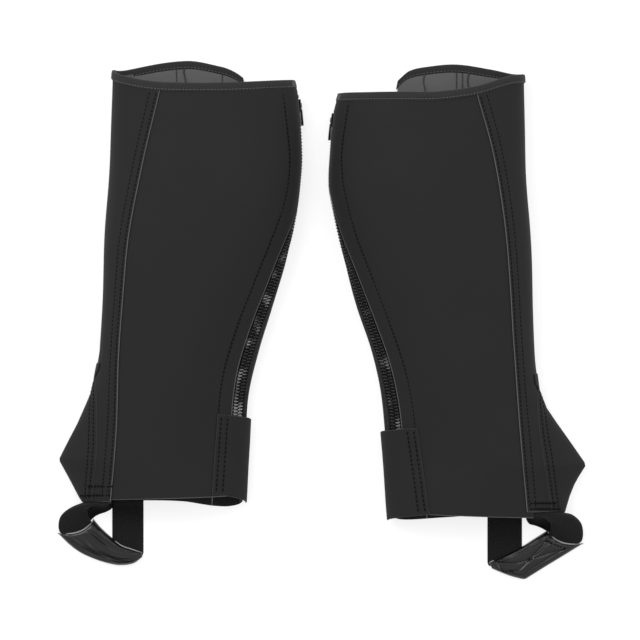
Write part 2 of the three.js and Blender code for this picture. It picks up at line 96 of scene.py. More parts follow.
def bell(x, width):
    return np.exp(-((x / width) ** 2))


# Heights and fullnesses of the leg tube against the way up the leg, in millimetres.
crown = smooth([(-190, 44), (-110, 46), (0, 54), (110, 60), (180, 56), (245, 50)])
shinHeight = smooth([(-190, 9), (-132, 8), (-60, 11), (40, 16), (240, 17)])
rearHeight = smooth([(-190, 11), (-60, 12), (80, 16), (240, 16)])
shinFullness = smooth([(-190, 1.6), (-132, 1.45), (-60, 1.9), (20, 2.2), (240, 2.2)])
rearFullness = smooth([(-190, 1.7), (0, 1.7), (120, 2.2), (240, 2.2)])

# Outlines and seams are (way up the leg, reach) points in millimetres. Edges that run round the tube are
# (angle, way up the leg). A crease is its place, bow, depth, slope, middle and length.
left = dict(
    name="left",
    side=-1,
    shin=smooth([(-200, 216), (-60, 217), (-28, 211.4), (87, 205.7), (158, 201), (236, 199)]),
    toe=straight([(-172, 227), (-166, 231), (-132, 249.3), (-99, 232.3), (-70, 220), (-54, 216),
                  (-30, 211.6)]),
    rear=smooth([(-171, 75), (-120, 72), (-70, 69), (-28, 59), (15, 46), (58, 33), (101, 24.2), (129, 20.4),
                 (158, 18.5), (214, 22.3), (228, 26)]),
    shinSeam=smooth([(-169, 199), (-107, 193.8), (-40, 191.4), (20, 187.6), (85, 181), (149, 168.6),
                     (219, 152.5)]),
    zipEdge=smooth([(-165, 88), (-112, 87), (-56, 82.2), (-5.7, 67.9), (39, 50.8), (87, 31.8), (113, 23.3),
                    (138, 19), (162, 18.5), (227, 26)]),
    toeSeam=smooth([(-165, 216.1), (-121, 212.3), (-89, 212.3), (-47, 213.3)]),
    farShinSeam=smooth([(-171, 196), (-40, 190), (85, 172), (220, 135)]),
    stretchSeam=smooth([(-176, 104), (-70, 99), (15, 86), (101, 74), (225, 74)]),
    nearTop=smooth([(0, 239), (0.55, 232.5), (1.06, 227), (1.75, 226.2), (2.5, 228.5), (3.14, 229.5)]),
    farTop=smooth([(-2.1, 227), (-2.03, 233), (-1.93, 238.5), (-1.8, 242.5), (-1.4, 248), (-0.5, 239),
                   (0, 239)]),
    stretchTop=straight([(-3.14, 222), (-2, 214)]),
    frontBottom=-171.5,
    nearBottom=smooth([(0.5, -170.5), (2, -168), (3.14, -165)]),
    farBottom=smooth([(-3.14, -172.5), (-2.6, -176.5), (-2.3, -176.2), (-2.1, -174.6), (-1.85, -172),
                      (-1.5, -171),
                      (-0.6, -171.5)]),
    tabFront=((-165.3, 105), (-85.5, 99.3)),
    tabTop=straight([(1.6, -84), (3.2, -93)]),
    tabBottom=straight([(2.1, -165.3), (2.4, -165.6), (3.2, -173)]),
    toeStart=-30,
    zipTop=214,
    zipBottom=-112,
    liningSeams=((138, 0.5), (130.5, 1.0), (94.5, 0.5)),
    boxRows=((-156.8, 197, 221), (-165.3, 199, 228)),
    bareEnd=0.5,
    strapInner=((198.7, -172), (209, -173.9), (218.5, -176), (222.6, -180.5), (221.8, -186),
                (219, -191.5), (216.2, -199)),
    strapUnder=((197.8, -172), (199.3, -178), (205.1, -181.9), (215.7, -185.2), (220.5, -187.5)),
    strapOuter=((226, -172.5), (240, -178.5), (249, -187), (249.6, -200.5), (240, -206)),
    farElastic=(169.6, 199.5),
    sleeveUpper=((217.1, -189), (210.4, -196.7), (199, -207.1), (190.5, -213.8), (182, -217),
                 (171, -220.8)),
    sleeveLower=((251.2, -202.4), (240.8, -212.6), (230.4, -220.4), (217.1, -226.6), (203.8, -230.9),
                 (192, -232.8), (179, -231), (170.8, -225)),
    bend=((191, -171), (0.9951, 0.0990)),
    creases=((0.26, 0.06, 1.0, 0.1, 0.3, 0.22), (0.46, 0.2, 1.4, 0.2, 0.6, 0.26),
             (0.62, 0.14, 1.3, -0.05, 0.45, 0.28),
             (0.78, 0.08, 1.1, -0.08, 0.7, 0.24), (0.9, 0.02, 0.7, 0.0, 0.5, 0.3)),
)

right = dict(
    name="right",
    side=1,
    shin=smooth([(-60, 206), (-28, 203), (44, 200.9), (87, 198.3), (150, 194), (236, 193)]),
    toe=straight([(-184, 230.5), (-166, 236.1), (-155, 240.6), (-147, 245), (-137, 251.2), (-99, 224.5),
                  (-84, 214.5), (-66, 207.5), (-40, 203.8)]),
    rear=smooth([(-185, 66), (-120, 61), (-70, 56.5), (-28, 47), (15, 32.8), (58, 21.4), (101, 12),
                 (129, 7.1), (158, 8.1), (199, 12), (217, 17)]),
    shinSeam=smooth([(-180, 194.3), (-107, 187.6), (-22, 181), (31, 178.1), (102, 171.5), (162, 161),
                     (215, 146.8)]),
    zipEdge=smooth([(-182, 80), (-94, 76), (-47, 67.5), (1.4, 51.4), (42, 35.9), (79, 21.8), (113, 12.3),
                    (138, 8), (162, 7.5), (214, 15)]),
    toeSeam=smooth([(-169, 215.2), (-129, 209.5), (-104, 205.7), (-76, 203.8), (-56, 205)]),
    farShinSeam=smooth([(-180, 194), (-40, 184), (85, 166), (220, 130)]),
    stretchSeam=smooth([(-186, 100), (-70, 92), (15, 76), (101, 68), (225, 72)]),
    nearTop=smooth([(0, 235), (0.57, 232.8), (1.11, 222.3), (1.54, 217.6), (1.91, 217.6), (3.14, 216.6)]),
    farTop=smooth([(-2.12, 216), (-2.06, 221), (-1.97, 230.5), (-1.865, 238.5), (-1.657, 242.5),
                   (-1.33, 244.6),
                   (-0.89, 240), (-0.48, 235.5), (0, 235)]),
    stretchTop=straight([(-3.14, 210), (-2, 206)]),
    frontBottom=-181.5,
    nearBottom=smooth([(0.5, -188), (1.5, -186), (3.14, -181)]),
    farBottom=smooth([(-3.14, -186), (-2.6, -189.3), (-1.93, -187), (-1.6, -185), (-1.2, -183),
                      (-0.6, -181.5)]),
    tabFront=((-180.5, 103), (-99.8, 91.7)),
    tabTop=straight([(1.6, -98.5), (3.2, -105)]),
    tabBottom=straight([(1.6, -181), (3.2, -189.5)]),
    toeStart=-40,
    zipTop=200,
    zipBottom=-126,
    liningSeams=((98, 0.9), (128.7, 0.5), (134.4, 0.5), (140, 1.0)),
    boxRows=((-173, 197, 222), (-178.5, 197, 226)),
    bareEnd=0.92,
    strapInner=((196, -182), (203.5, -184.5), (212, -187.6), (217.6, -192.5), (218.2, -199),
                (216, -203.5), (213.4, -210.5)),
    strapUnder=((194.3, -182), (195, -188.5), (198, -193.3), (203.5, -195), (214, -198.5), (217, -200.5)),
    strapOuter=((230, -182.5), (240, -185), (248, -194), (248, -209.5), (238.5, -214.5)),
    farElastic=(158.2, 191.2),
    sleeveUpper=((215.2, -199.6), (203.5, -207), (191.4, -214.7), (177, -222), (160, -230.2)),
    sleeveLower=((249.3, -212.2), (231, -223.5), (212, -235), (198, -243.8), (193.8, -246), (188, -245.2),
                 (177, -242), (162.5, -236)),
    bend=((186, -188), (0.9946, 0.1038)),
    creases=((0.1, 0.02, 0.8, 0.0, 0.5, 0.4), (0.5, 0.0, 0.7, 0.5, 0.3, 0.2),
             (0.72, 0.03, 0.6, -0.1, 0.7, 0.2),
             (0.93, 0.0, 0.6, 0.0, 0.5, 0.4)),
)


def widthAt(gaiter, y):
    toe = np.where(y < gaiter["toeStart"], gaiter["toe"](y), 0)
    front = np.maximum(gaiter["shin"](y), toe) - wall
    rear = gaiter["rear"](y) + wall
    return (front + rear) / 2, (front - rear) / 2


# The tube's middle surface. With s = cos(angle) the crown side is
# z = nose + (crown - nose) (1 - |s|^n)^(1/n), and the side on the table is flat up to its rounded noses.
def pointOn(gaiter, angle, y):
    middle, half = widthAt(gaiter, y)
    s = np.cos(angle)
    rear, shin = rearHeight(y), shinHeight(y)
    nose = rear + (shin - rear) * (1 + s) / 2
    n = np.where(s > 0, shinFullness(y), rearFullness(y))
    over = nose + (crown(y) - nose) * np.maximum(1 - np.abs(s) ** n, 0) ** (1 / n)
    rise = np.maximum(0, (np.abs(s) - noseStart) / (1 - noseStart))
    under = wall + (nose - wall) * (1 - np.maximum(1 - rise**2.5, 0) ** (1 / 2.5))
    z = np.where(np.sin(angle) >= 0, over, under)
    return np.stack([gaiter["side"] * (middle + half * s), y + 0 * s, z], -1)


def unit(vectors):
    return vectors / np.maximum(np.linalg.norm(vectors, axis=-1, keepdims=True), 1e-9)


def outwardAt(gaiter, angle, y):
    around = pointOn(gaiter, angle + 0.03, y) - pointOn(gaiter, angle - 0.03, y)
    up = pointOn(gaiter, angle, y + 1) - pointOn(gaiter, angle, y - 1)
    return unit(np.cross(up, around) * gaiter["side"])


def offsetPoint(gaiter, angle, y, offset):
    return pointOn(gaiter, angle, y) + outwardAt(gaiter, angle, y) * np.asarray(offset)[..., None]


def angleOf(gaiter, reach, y):
    middle, half = widthAt(gaiter, y)
    return np.arccos(np.clip((reach - middle) / half, -1, 1))


# The angle that lies a distance further round the tube, along the surface.
def stepRound(gaiter, angle, y, distance):
    steps = max(1, math.ceil(abs(distance) * 2))
    for _ in range(steps):
        chord = pointOn(gaiter, angle + 0.02, y) - pointOn(gaiter, angle - 0.02, y)
        angle = angle + distance / steps / np.maximum(np.linalg.norm(chord, axis=-1) / 0.04, 4)
    return angle


samples = np.arange(-215.0, 262.0, 1.0)


# An edge of a piece: the angle at each sampled height.
def edge(gaiter, curve, distance=0.0, far=False, turn=0.0):
    angle = angleOf(gaiter, gaiter[curve](samples), samples)
    return stepRound(gaiter, -angle if far else angle, samples, distance) + turn


def tabEdge(gaiter, distance=0.0):
    (lowY, lowReach), (highY, highReach) = gaiter["tabFront"]
    reach = lowReach + (samples - lowY) * (highReach - lowReach) / (highY - lowY)
    return stepRound(gaiter, angleOf(gaiter, reach, samples), samples, distance)


# Looks a table of angles up at each column's heights.
def lookUp(table, y):
    place = np.clip(y - samples[0], 0, len(samples) - 1.001)
    low = place.astype(int)
    part = place - low
    column = np.arange(len(table)).reshape(-1, *([1] * (y.ndim - 1)))
    return table[column, low] * (1 - part) + table[column, low + 1] * part


# A patch of the tube between two edges. Columns keep a set distance from each edge, given in millimetres by
# near and far, and share out the space between; rows do the same from the bottom and the top.
def patchGrid(gaiter, start, end, bottom, top, near=(0, 0.7), far=(0, 0.7), low=(0, 0.7), high=(0, 0.7),
              columns=30, rows=150):
    table = [start]
    for before, after in zip(near[:-1], near[1:]):
        table.append(stepRound(gaiter, table[-1], samples, after - before))
    back = [end]
    for before, after in zip(far[:-1], far[1:]):
        back.append(stepRound(gaiter, back[-1], samples, before - after))
    between = np.linspace(0, 1, columns + 2)[1:-1, None]
    middle = table[-1][None] * (1 - between) + back[-1][None] * between
    table = np.concatenate([np.array(table), middle, np.array(back[::-1])])
    yLow = bottom(lookUp(table, np.zeros((len(table), 1))))
    yHigh = top(lookUp(table, np.zeros((len(table), 1))))
    for _ in range(6):
        yLow = bottom(lookUp(table, yLow))
        yHigh = top(lookUp(table, yHigh))
    low, high = np.array(low, float)[None], np.array(high, float)[None, ::-1]
    share = np.linspace(0, 1, rows + 2)[None, 1:-1]
    inner = (yLow + low[0, -1]) * (1 - share) + (yHigh - high[0, 0]) * share
    y = np.concatenate([yLow + low, inner, yHigh - high], 1)
    angle = lookUp(table, y)
    base, out = pointOn(gaiter, angle, y), outwardAt(gaiter, angle, y)
    around = np.linalg.norm(np.diff(base, axis=0), axis=-1)
    up = np.linalg.norm(np.diff(base, axis=1), axis=-1)
    fromStart = np.concatenate([np.zeros((1, y.shape[1])), np.cumsum(around, 0)])
    fromBottom = np.concatenate([np.zeros((y.shape[0], 1)), np.cumsum(up, 1)], 1)
    return dict(base=base, out=out, angle=angle, y=y, reach=base[..., 0] * gaiter["side"], start=fromStart,
                end=fromStart[-1:] - fromStart, bottom=fromBottom, top=fromBottom[:, -1:] - fromBottom,
                side=gaiter["side"])


def quads(count, length, flip=False, closeA=False, closeB=False):
    i = np.arange(count if closeA else count - 1)[:, None]
    j = np.arange(length if closeB else length - 1)[None, :]
    i2, j2 = (i + 1) % count, (j + 1) % length
    face = np.stack([i * length + j, i2 * length + j, i2 * length + j2, i * length + j2], -1).reshape(-1, 4)
    return face[:, ::-1] if flip else face


# Each part is a set of points and four-sided faces with a material number. skin holds the cloth's own
# coordinates in millimetres, for the weave.
def part(points, faces, material=0, skin=None, smoothed=True):
    points = np.asarray(points, float).reshape(-1, 3)
    count = len(faces)
    return dict(points=points, faces=faces,
                material=np.broadcast_to(np.asarray(material), (count,)),
                skin=np.zeros((len(points), 2)) if skin is None else np.asarray(skin, float).reshape(-1, 2),
                smoothed=np.broadcast_to(np.asarray(smoothed), (count,)))


# A cloth layer on a patch, with thin bevelled cut edges on the sides named in cut. wide shows the trim on two
# rows of faces at the end side instead of one.
def layer(grid, outside, inside, cut=("start", "end", "bottom", "top"), face=0, back=1, trim=2, wide=False):
    outside = np.broadcast_to(outside, grid["y"].shape).copy()
    inside = np.broadcast_to(inside, grid["y"].shape).copy()
    borders = dict(start=(0, slice(None)), end=(-1, slice(None)), bottom=(slice(None), 0),
                   top=(slice(None), -1))
    shape = grid["y"].shape
    strip = np.zeros((shape[0] - 1, shape[1] - 1), bool)
    for name in cut:
        where = borders[name]
        middle = outside[where] * 0.35 + inside[where] * 0.65
        outside[where] = middle
        inside[where] = middle
        strip[where] = True
    if wide:
        strip[-2] = True
    over = grid["base"] + grid["out"] * outside[..., None]
    under = grid["base"] + grid["out"] * inside[..., None]
    flip = grid["side"] > 0
    skin = np.stack([grid["start"], grid["bottom"]], -1)
    faces = quads(*shape, flip)
    order = strip.reshape(-1)
    parts = [part(over, faces, np.where(order, trim, face), skin, ~order),
             part(under, faces[:, ::-1], back, skin)]
    walls = [("start", 0, slice(None), True), ("end", -1, slice(None), False),
             ("bottom", slice(None), 0, False), ("top", slice(None), -1, True)]
    for name, i, j, turned in walls:
        if name not in cut:
            rim = np.stack([over[i, j], under[i, j]])
            parts.append(part(rim, quads(2, rim.shape[1], turned ^ flip), trim, smoothed=False))
    return over, parts


# The line across a layer's surface at a distance from one side, with its outward directions.
def lineAt(grid, surface, side, distance):
    along = grid[side]
    axis = 0 if side in ("start", "end") else 1
    if axis == 1:
        along, surface, out = along.T, surface.swapaxes(0, 1), grid["out"].swapaxes(0, 1)
    else:
        out = grid["out"]
    if side in ("end", "top"):
        along, surface, out = along[::-1], surface[::-1], out[::-1]
    low = np.clip((along < distance).sum(0) - 1, 0, len(along) - 2)[None]
    a, b = np.take_along_axis(along, low, 0)[0], np.take_along_axis(along, low + 1, 0)[0]
    t = np.clip((distance - a) / np.maximum(b - a, 1e-6), 0, 1)[:, None]
    pick = low[..., None]
    before, after = np.take_along_axis(surface, pick, 0), np.take_along_axis(surface, pick + 1, 0)
    points = (before * (1 - t) + after * t)[0]
    return points, np.take_along_axis(out, pick, 0)[0]


# How far along a line each of its points is.
def distances(points):
    return np.concatenate([[0], np.cumsum(np.linalg.norm(np.diff(points, axis=0), axis=1))])


def resample(points, out, pitch, skip=(0, 0)):
    run = distances(points)
    first, last = skip[0], run[-1] - skip[1]
    count = max(2, int((last - first) / pitch))
    at = first + (np.arange(count) + 0.5) * (last - first) / count
    place = np.stack([np.interp(at, run, points[:, k]) for k in range(3)], 1)
    normal = unit(np.stack([np.interp(at, run, out[:, k]) for k in range(3)], 1))
    ahead = np.stack([np.interp(at + 0.5, run, points[:, k]) for k in range(3)], 1)
    behind = np.stack([np.interp(at - 0.5, run, points[:, k]) for k in range(3)], 1)
    return place, normal, unit(ahead - behind)


# A row of stitches: short arched lengths of thread, each a little barrel that dips at both ends.
def stitches(points, out, material=3, pitch=4.0, length=2.9, radius=0.55, skip=(3, 3), lift=0.05):
    place, normal, along = resample(points, out, pitch, skip)
    across = unit(np.cross(normal, along))
    ring = np.linspace(0, 2 * math.pi, 6, endpoint=False)
    reach = np.array([-1, -0.82, -0.35, 0.35, 0.82, 1])[:, None] * length / 2
    thick = np.array([0.25, 0.8, 1, 1, 0.8, 0.25])[:, None] * radius
    dip = np.array([-0.5, -0.12, 0.05, 0.05, -0.12, -0.5])[:, None]
    x = (reach + 0 * ring).reshape(-1)
    y = (thick * np.cos(ring)).reshape(-1)
    z = (thick * np.sin(ring) + dip + lift).reshape(-1)
    shape = (along[:, None] * x[None, :, None] + across[:, None] * y[None, :, None]
             + normal[:, None] * z[None, :, None] + place[:, None])
    one = quads(6, 6, closeB=True)
    faces = (one[None] + 36 * np.arange(len(place))[:, None, None]).reshape(-1, 4)
    return part(shape, faces, material)


# A closed ring swept along a path. sides gives the ring in the plane of the two directions.
def sweep(path, sideways, out, ring, material=0, flip=False):
    shape = path[:, None] + sideways[:, None] * ring[None, :, :1] + out[:, None] * ring[None, :, 1:]
    return part(shape, quads(len(path), len(ring), flip, closeB=True), material)


def circle(count):
    turn = np.linspace(0, 2 * math.pi, count, endpoint=False)
    return np.stack([np.cos(turn), np.sin(turn)], 1)


# Closes a ring of points with a fan to its middle.
def capOn(ring, turned, smoothed=True):
    fan = np.stack([ring, np.broadcast_to(ring.mean(0), ring.shape)])
    return part(fan, quads(2, len(ring), turned, closeB=True), smoothed=smoothed)


def makePiece(name, parts, materials):
    offset, points, faces, material, skin, smoothed = 0, [], [], [], [], []
    for piece in parts:
        points.append(piece["points"])
        faces.append(piece["faces"] + offset)
        material.append(piece["material"])
        skin.append(piece["skin"])
        smoothed.append(piece["smoothed"])
        offset += len(piece["points"])
    points, faces = np.concatenate(points) * mm, np.concatenate(faces).astype(np.int32)
    mesh = bpy.data.meshes.new(name)
    mesh.vertices.add(len(points))
    mesh.vertices.foreach_set("co", points.astype(np.float32).ravel())
    mesh.loops.add(faces.size)
    mesh.loops.foreach_set("vertex_index", faces.ravel())
    mesh.polygons.add(len(faces))
    mesh.polygons.foreach_set("loop_start", np.arange(0, faces.size, 4, dtype=np.int32))
    mesh.polygons.foreach_set("material_index", np.concatenate(material).astype(np.int32))
    mesh.polygons.foreach_set("use_smooth", np.concatenate(smoothed))
    weave = mesh.uv_layers.new(name="weave")
    weave.uv.foreach_set("vector", np.concatenate(skin)[faces.ravel()].astype(np.float32).ravel())
    for one in materials:
        mesh.materials.append(one)
    mesh.update(calc_edges=True)
    mesh.validate()
    made = bpy.data.objects.new(name, mesh)
    bpy.context.scene.collection.objects.link(made)
    return made


# Materials. Every texture is worked out from the object's place or from the cloth's own millimetres.
def newMaterial(name, colour, roughness, sheen=0.0, coat=0.0, specular=0.5):
    material = bpy.data.materials.new(name)
    material.use_nodes = True
    nodes = material.node_tree.nodes
    shader = nodes["Principled BSDF"]
    shader.inputs["Base Color"].default_value = (*colour, 1)
    shader.inputs["Roughness"].default_value = roughness
    shader.inputs["Sheen Weight"].default_value = sheen
    shader.inputs["Coat Weight"].default_value = coat
    shader.inputs["Specular IOR Level"].default_value = specular
    return material, nodes, material.node_tree.links, shader


def noise(nodes, links, source, scale, detail=3.0, stretch=None):
    texture = nodes.new("ShaderNodeTexNoise")
    texture.inputs["Scale"].default_value = scale
    texture.inputs["Detail"].default_value = detail
    if stretch:
        mapping = nodes.new("ShaderNodeMapping")
        mapping.inputs["Scale"].default_value = stretch
        links.new(source, mapping.inputs["Vector"])
        source = mapping.outputs["Vector"]
    links.new(source, texture.inputs["Vector"])
    return texture.outputs["Fac"]


def remap(nodes, links, value, low, high, fromLow=0.3, fromHigh=0.7):
    ramp = nodes.new("ShaderNodeMapRange")
    ramp.inputs["From Min"].default_value = fromLow
    ramp.inputs["From Max"].default_value = fromHigh
    ramp.inputs["To Min"].default_value = low
    ramp.inputs["To Max"].default_value = high
    links.new(value, ramp.inputs["Value"])
    return ramp.outputs["Result"]


def tint(nodes, links, shader, colour, value):
    mix = nodes.new("ShaderNodeVectorMath")
    mix.operation = "SCALE"
    mix.inputs[0].default_value = colour
    links.new(value, mix.inputs["Scale"])
    links.new(mix.outputs["Vector"], shader.inputs["Base Color"])


def bump(nodes, links, shader, height, strength, distance):
    node = nodes.new("ShaderNodeBump")
    node.inputs["Strength"].default_value = strength
    node.inputs["Distance"].default_value = distance
    links.new(height, node.inputs["Height"])
    links.new(node.outputs["Normal"], shader.inputs["Normal"])
    return node


def place(nodes):
    return nodes.new("ShaderNodeTexCoord").outputs["Object"]


def cloth(nodes):
    node = nodes.new("ShaderNodeUVMap")
    node.uv_map = "weave"
    return node.outputs["UV"]


# A brushed matt face with a very fine grain.
def grainMaterial(name, colour, roughness, grain=900, depth=0.00012, sheen=0.12, specular=0.35):
    material, nodes, links, shader = newMaterial(name, colour, roughness, sheen, specular=specular)
    shader.inputs["Sheen Roughness"].default_value = 0.5
    where = place(nodes)
    broad = noise(nodes, links, where, 26, 4)
    fine = noise(nodes, links, where, grain, 2)
    tint(nodes, links, shader, colour, remap(nodes, links, broad, 0.93, 1.07))
    links.new(remap(nodes, links, broad, roughness - 0.04, roughness + 0.04), shader.inputs["Roughness"])
    bump(nodes, links, shader, fine, 0.5, depth)
    return material


# Woven or knitted cloth: two crossing waves of threads, given in threads per millimetre.
def weaveMaterial(name, colour, roughness, across, along, depth=0.0002, sheen=0.2, contrast=0.25):
    material, nodes, links, shader = newMaterial(name, colour, roughness, sheen, specular=0.25)
    skin = cloth(nodes)
    split = nodes.new("ShaderNodeSeparateXYZ")
    links.new(skin, split.inputs["Vector"])
    waves = []
    for output, frequency in (("X", across), ("Y", along)):
        scale = nodes.new("ShaderNodeMath")
        scale.operation = "MULTIPLY"
        scale.inputs[1].default_value = frequency * 2 * math.pi
        links.new(split.outputs[output], scale.inputs[0])
        wave = nodes.new("ShaderNodeMath")
        wave.operation = "SINE"
        links.new(scale.outputs[0], wave.inputs[0])
        waves.append(wave.outputs[0])
    both = nodes.new("ShaderNodeMath")
    both.operation = "ADD"
    links.new(waves[0], both.inputs[0])
    links.new(waves[1], both.inputs[1])
    tint(nodes, links, shader, colour,
         remap(nodes, links, both.outputs[0], 1 - contrast, 1 + contrast, -2, 2))
    bump(nodes, links, shader, both.outputs[0], 0.6, depth)
    return material


panelFace = grainMaterial("panelFace", (0.0092, 0.0092, 0.0093), 0.8, sheen=0.02, specular=0.2)
panelBack = weaveMaterial("panelBack", (0.010, 0.010, 0.0102), 0.9, 0.9, 0.9, sheen=0.03)
cutEdge = grainMaterial("cutEdge", (0.068, 0.068, 0.069), 0.85, grain=1500, sheen=0.03)
paleEdge = grainMaterial("paleEdge", (0.23, 0.23, 0.232), 0.8, grain=1500, sheen=0.03)
darkEdge = grainMaterial("darkEdge", (0.015, 0.015, 0.0152), 0.85, grain=1500, sheen=0.03)
thread = grainMaterial("thread", (0.0012, 0.0012, 0.0012), 0.75, grain=2500, sheen=0.0, specular=0.1)
bindingFace = weaveMaterial("bindingFace", (0.0155, 0.0155, 0.0157), 0.82, 1.1, 1.1, 0.00015, 0.04, 0.2)
bindingThread = grainMaterial("bindingThread", (0.075, 0.075, 0.076), 0.6, grain=2500, sheen=0.0)
liningFace = weaveMaterial("liningFace", (0.092, 0.092, 0.094), 0.92, 1.6, 1.6, 0.0001, 0.27, 0.1)
liningThread = grainMaterial("liningThread", (0.02, 0.02, 0.02), 0.8, grain=2500)
stretchFace = weaveMaterial("stretchFace", (0.0062, 0.0062, 0.0064), 0.85, 0.55, 0.22, 0.0003, 0.03, 0.4)
elasticFace = weaveMaterial("elasticFace", (0.0036, 0.0036, 0.0037), 0.88, 0.75, 0.5, 0.0003, 0.02, 0.4)
tapeFace = weaveMaterial("tapeFace", (0.005, 0.005, 0.0052), 0.85, 1.3, 0.7, 0.0002, 0.02, 0.4)
hookFace = weaveMaterial("hookFace", (0.007, 0.007, 0.007), 0.75, 0.8, 0.8, 0.0006, 0.03, 0.6)


# Coil teeth: dark nylon with painted glints that make it paler in short stretches.
def coilMaterial():
    colour = (0.006, 0.006, 0.0062)
    material, nodes, links, shader = newMaterial("coilNylon", colour, 0.42, specular=0.4)
    where = place(nodes)
    # Noise patches up to 34 times the base colour: painted glints on the coil.
    paintedGlints = remap(nodes, links, noise(nodes, links, where, 42, 1), 1.0, 34.0, 0.54, 0.64)
    tint(nodes, links, shader, colour, paintedGlints)
    return material


# Smooth coated cloth with fine creases that run along the strap. Its colour is lighter on the crease ridges
# and darker in their hollows: painted highlight and painted shade.
def vinylMaterial():
    colour = (0.0028, 0.0028, 0.0029)
    material, nodes, links, shader = newMaterial("sleeveVinyl", colour, 0.33, coat=0.1, specular=0.36)
    skin = cloth(nodes)
    crease = noise(nodes, links, skin, 0.32, 2, (0.22, 1.0, 1))
    pores = noise(nodes, links, place(nodes), 1300, 2)
    both = nodes.new("ShaderNodeMath")
    both.operation = "MULTIPLY_ADD"
    both.inputs[1].default_value = 0.15
    links.new(pores, both.inputs[0])
    links.new(crease, both.inputs[2])
    # Colour follows the crease height: painted highlight on the ridges, painted shade in the hollows.
    tint(nodes, links, shader, colour, remap(nodes, links, crease, 0.8, 1.3))
    bump(nodes, links, shader, both.outputs[0], 0.4, 0.0009)
    return material


coilNylon = coilMaterial()
sleeveVinyl = vinylMaterial()
sliderPaint, _, _, _ = newMaterial("sliderPaint", (0.010, 0.010, 0.0105), 0.42, coat=0.1)
plasticBlack, _, _, _ = newMaterial("plasticBlack", (0.008, 0.008, 0.008), 0.5)
layerMaterials = [panelFace, panelBack, cutEdge, thread, darkEdge]
print("materials made")


# Slow, slight unevenness that every flat cloth has, in millimetres.
def settle(grid, size=0.25):
    a, b = grid["reach"] / 37, grid["y"] / 61
    small = np.sin(a * 4.3 + 2 * b + 0.6) / 2
    return size * (np.sin(a * 2.1 + b * 1.3) + np.sin(b * 3.7 - a * 0.9 + 1.7) + small)


# The dimpled groove that a row of stitches pulls into the cloth.
def groove(grid, distance, depth=0.55, along="bottom", pitch=4.0):
    pull = 0.72 + 0.28 * np.cos(grid[along] * 2 * math.pi / pitch)
    return -depth * bell(distance, 1.25) * pull


def whereRow(at):
    return tuple(at + step for step in (-2.2, -1.4, -0.8, -0.3, 0.3, 0.8, 1.4, 2.2))


fineRows = 190


# Makes a piece that moves with one body.
def ride(gaiter, title, parts, materials, body, node):
    name = gaiter["name"]
    piece = makePiece(name + title, parts, materials)
    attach(piece, name + "_" + body)
    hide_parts(name + "_" + node)


# Makes a piece that moves with no body: its place is baked into its points.
def bend(gaiter, title, parts, materials, node):
    name = gaiter["name"]
    piece = makePiece(name + title, parts, materials)
    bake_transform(piece)
    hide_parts(name + "_" + node)


# Makes a piece of the outer side's cloth, the same way as bend.
def bendWithWing(gaiter, title, parts, materials, node):
    (reach, y), (towardShin, towardCalf) = gaiter["bend"]
    bend(gaiter, title, parts, materials, node)


def under(gaiter, drop):
    return lambda angle: np.where(angle >= 0, gaiter["nearTop"](angle), gaiter["farTop"](angle)) - drop


def bottomEdge(gaiter):
    return lambda angle: np.where(angle > -0.6, gaiter["frontBottom"], gaiter["farBottom"](angle))


def outerSide(gaiter):
    rowReach = 12.8
    grid = patchGrid(gaiter, edge(gaiter, "shinSeam", -7), edge(gaiter, "zipEdge"), gaiter["nearBottom"],
                     under(gaiter, rimGap), near=(0, 0.7, 3, 5, 6.2, 7, 8, 10),
                     far=(0, 0.7, 1.6, 4, 7) + tuple(np.arange(9.5, 28.8, 0.65)),
                     low=hemSteps, columns=46, rows=fineRows)
    inStitch = groove(grid, 1.5 * (grid["reach"] - gaiter["zipEdge"](grid["y"]) - rowReach))
    outside = wall - 0.75 * (1 - ease(grid["start"], 6.2, 8.5)) + inStitch + settle(grid)
    outside += 0.25 * bell(grid["end"] - 2, 2.5) - 0.3 * bell(grid["start"] - 8.2, 1.2)
    _, parts = layer(grid, outside, outside - 1.7, wide=True)
    y = np.linspace(float(gaiter["nearBottom"](2.5)) + 5, float(gaiter["nearTop"](2.5)) - 9, 140)
    angle = angleOf(gaiter, gaiter["zipEdge"](y) + rowReach, y)
    line = offsetPoint(gaiter, angle, y, np.full(140, wall - 0.25))
    parts.append(stitches(line, outwardAt(gaiter, angle, y)))
    bendWithWing(gaiter, "OuterPanel", parts, layerMaterials, "outer_side_panel")

    grid = patchGrid(gaiter, edge(gaiter, "shinSeam", 0.5), edge(gaiter, "zipEdge", -14.5),
                     lambda angle: gaiter["nearBottom"](angle) + hem, under(gaiter, rimGap), columns=30,
                     rows=fineRows // 2)
    _, parts = layer(grid, -0.7 + 0 * grid["y"], -1.5 + settle(grid, 0.15), cut=(), face=0, back=0, trim=0)
    bendWithWing(gaiter, "OuterLining", parts, [liningFace], "outer_lining")


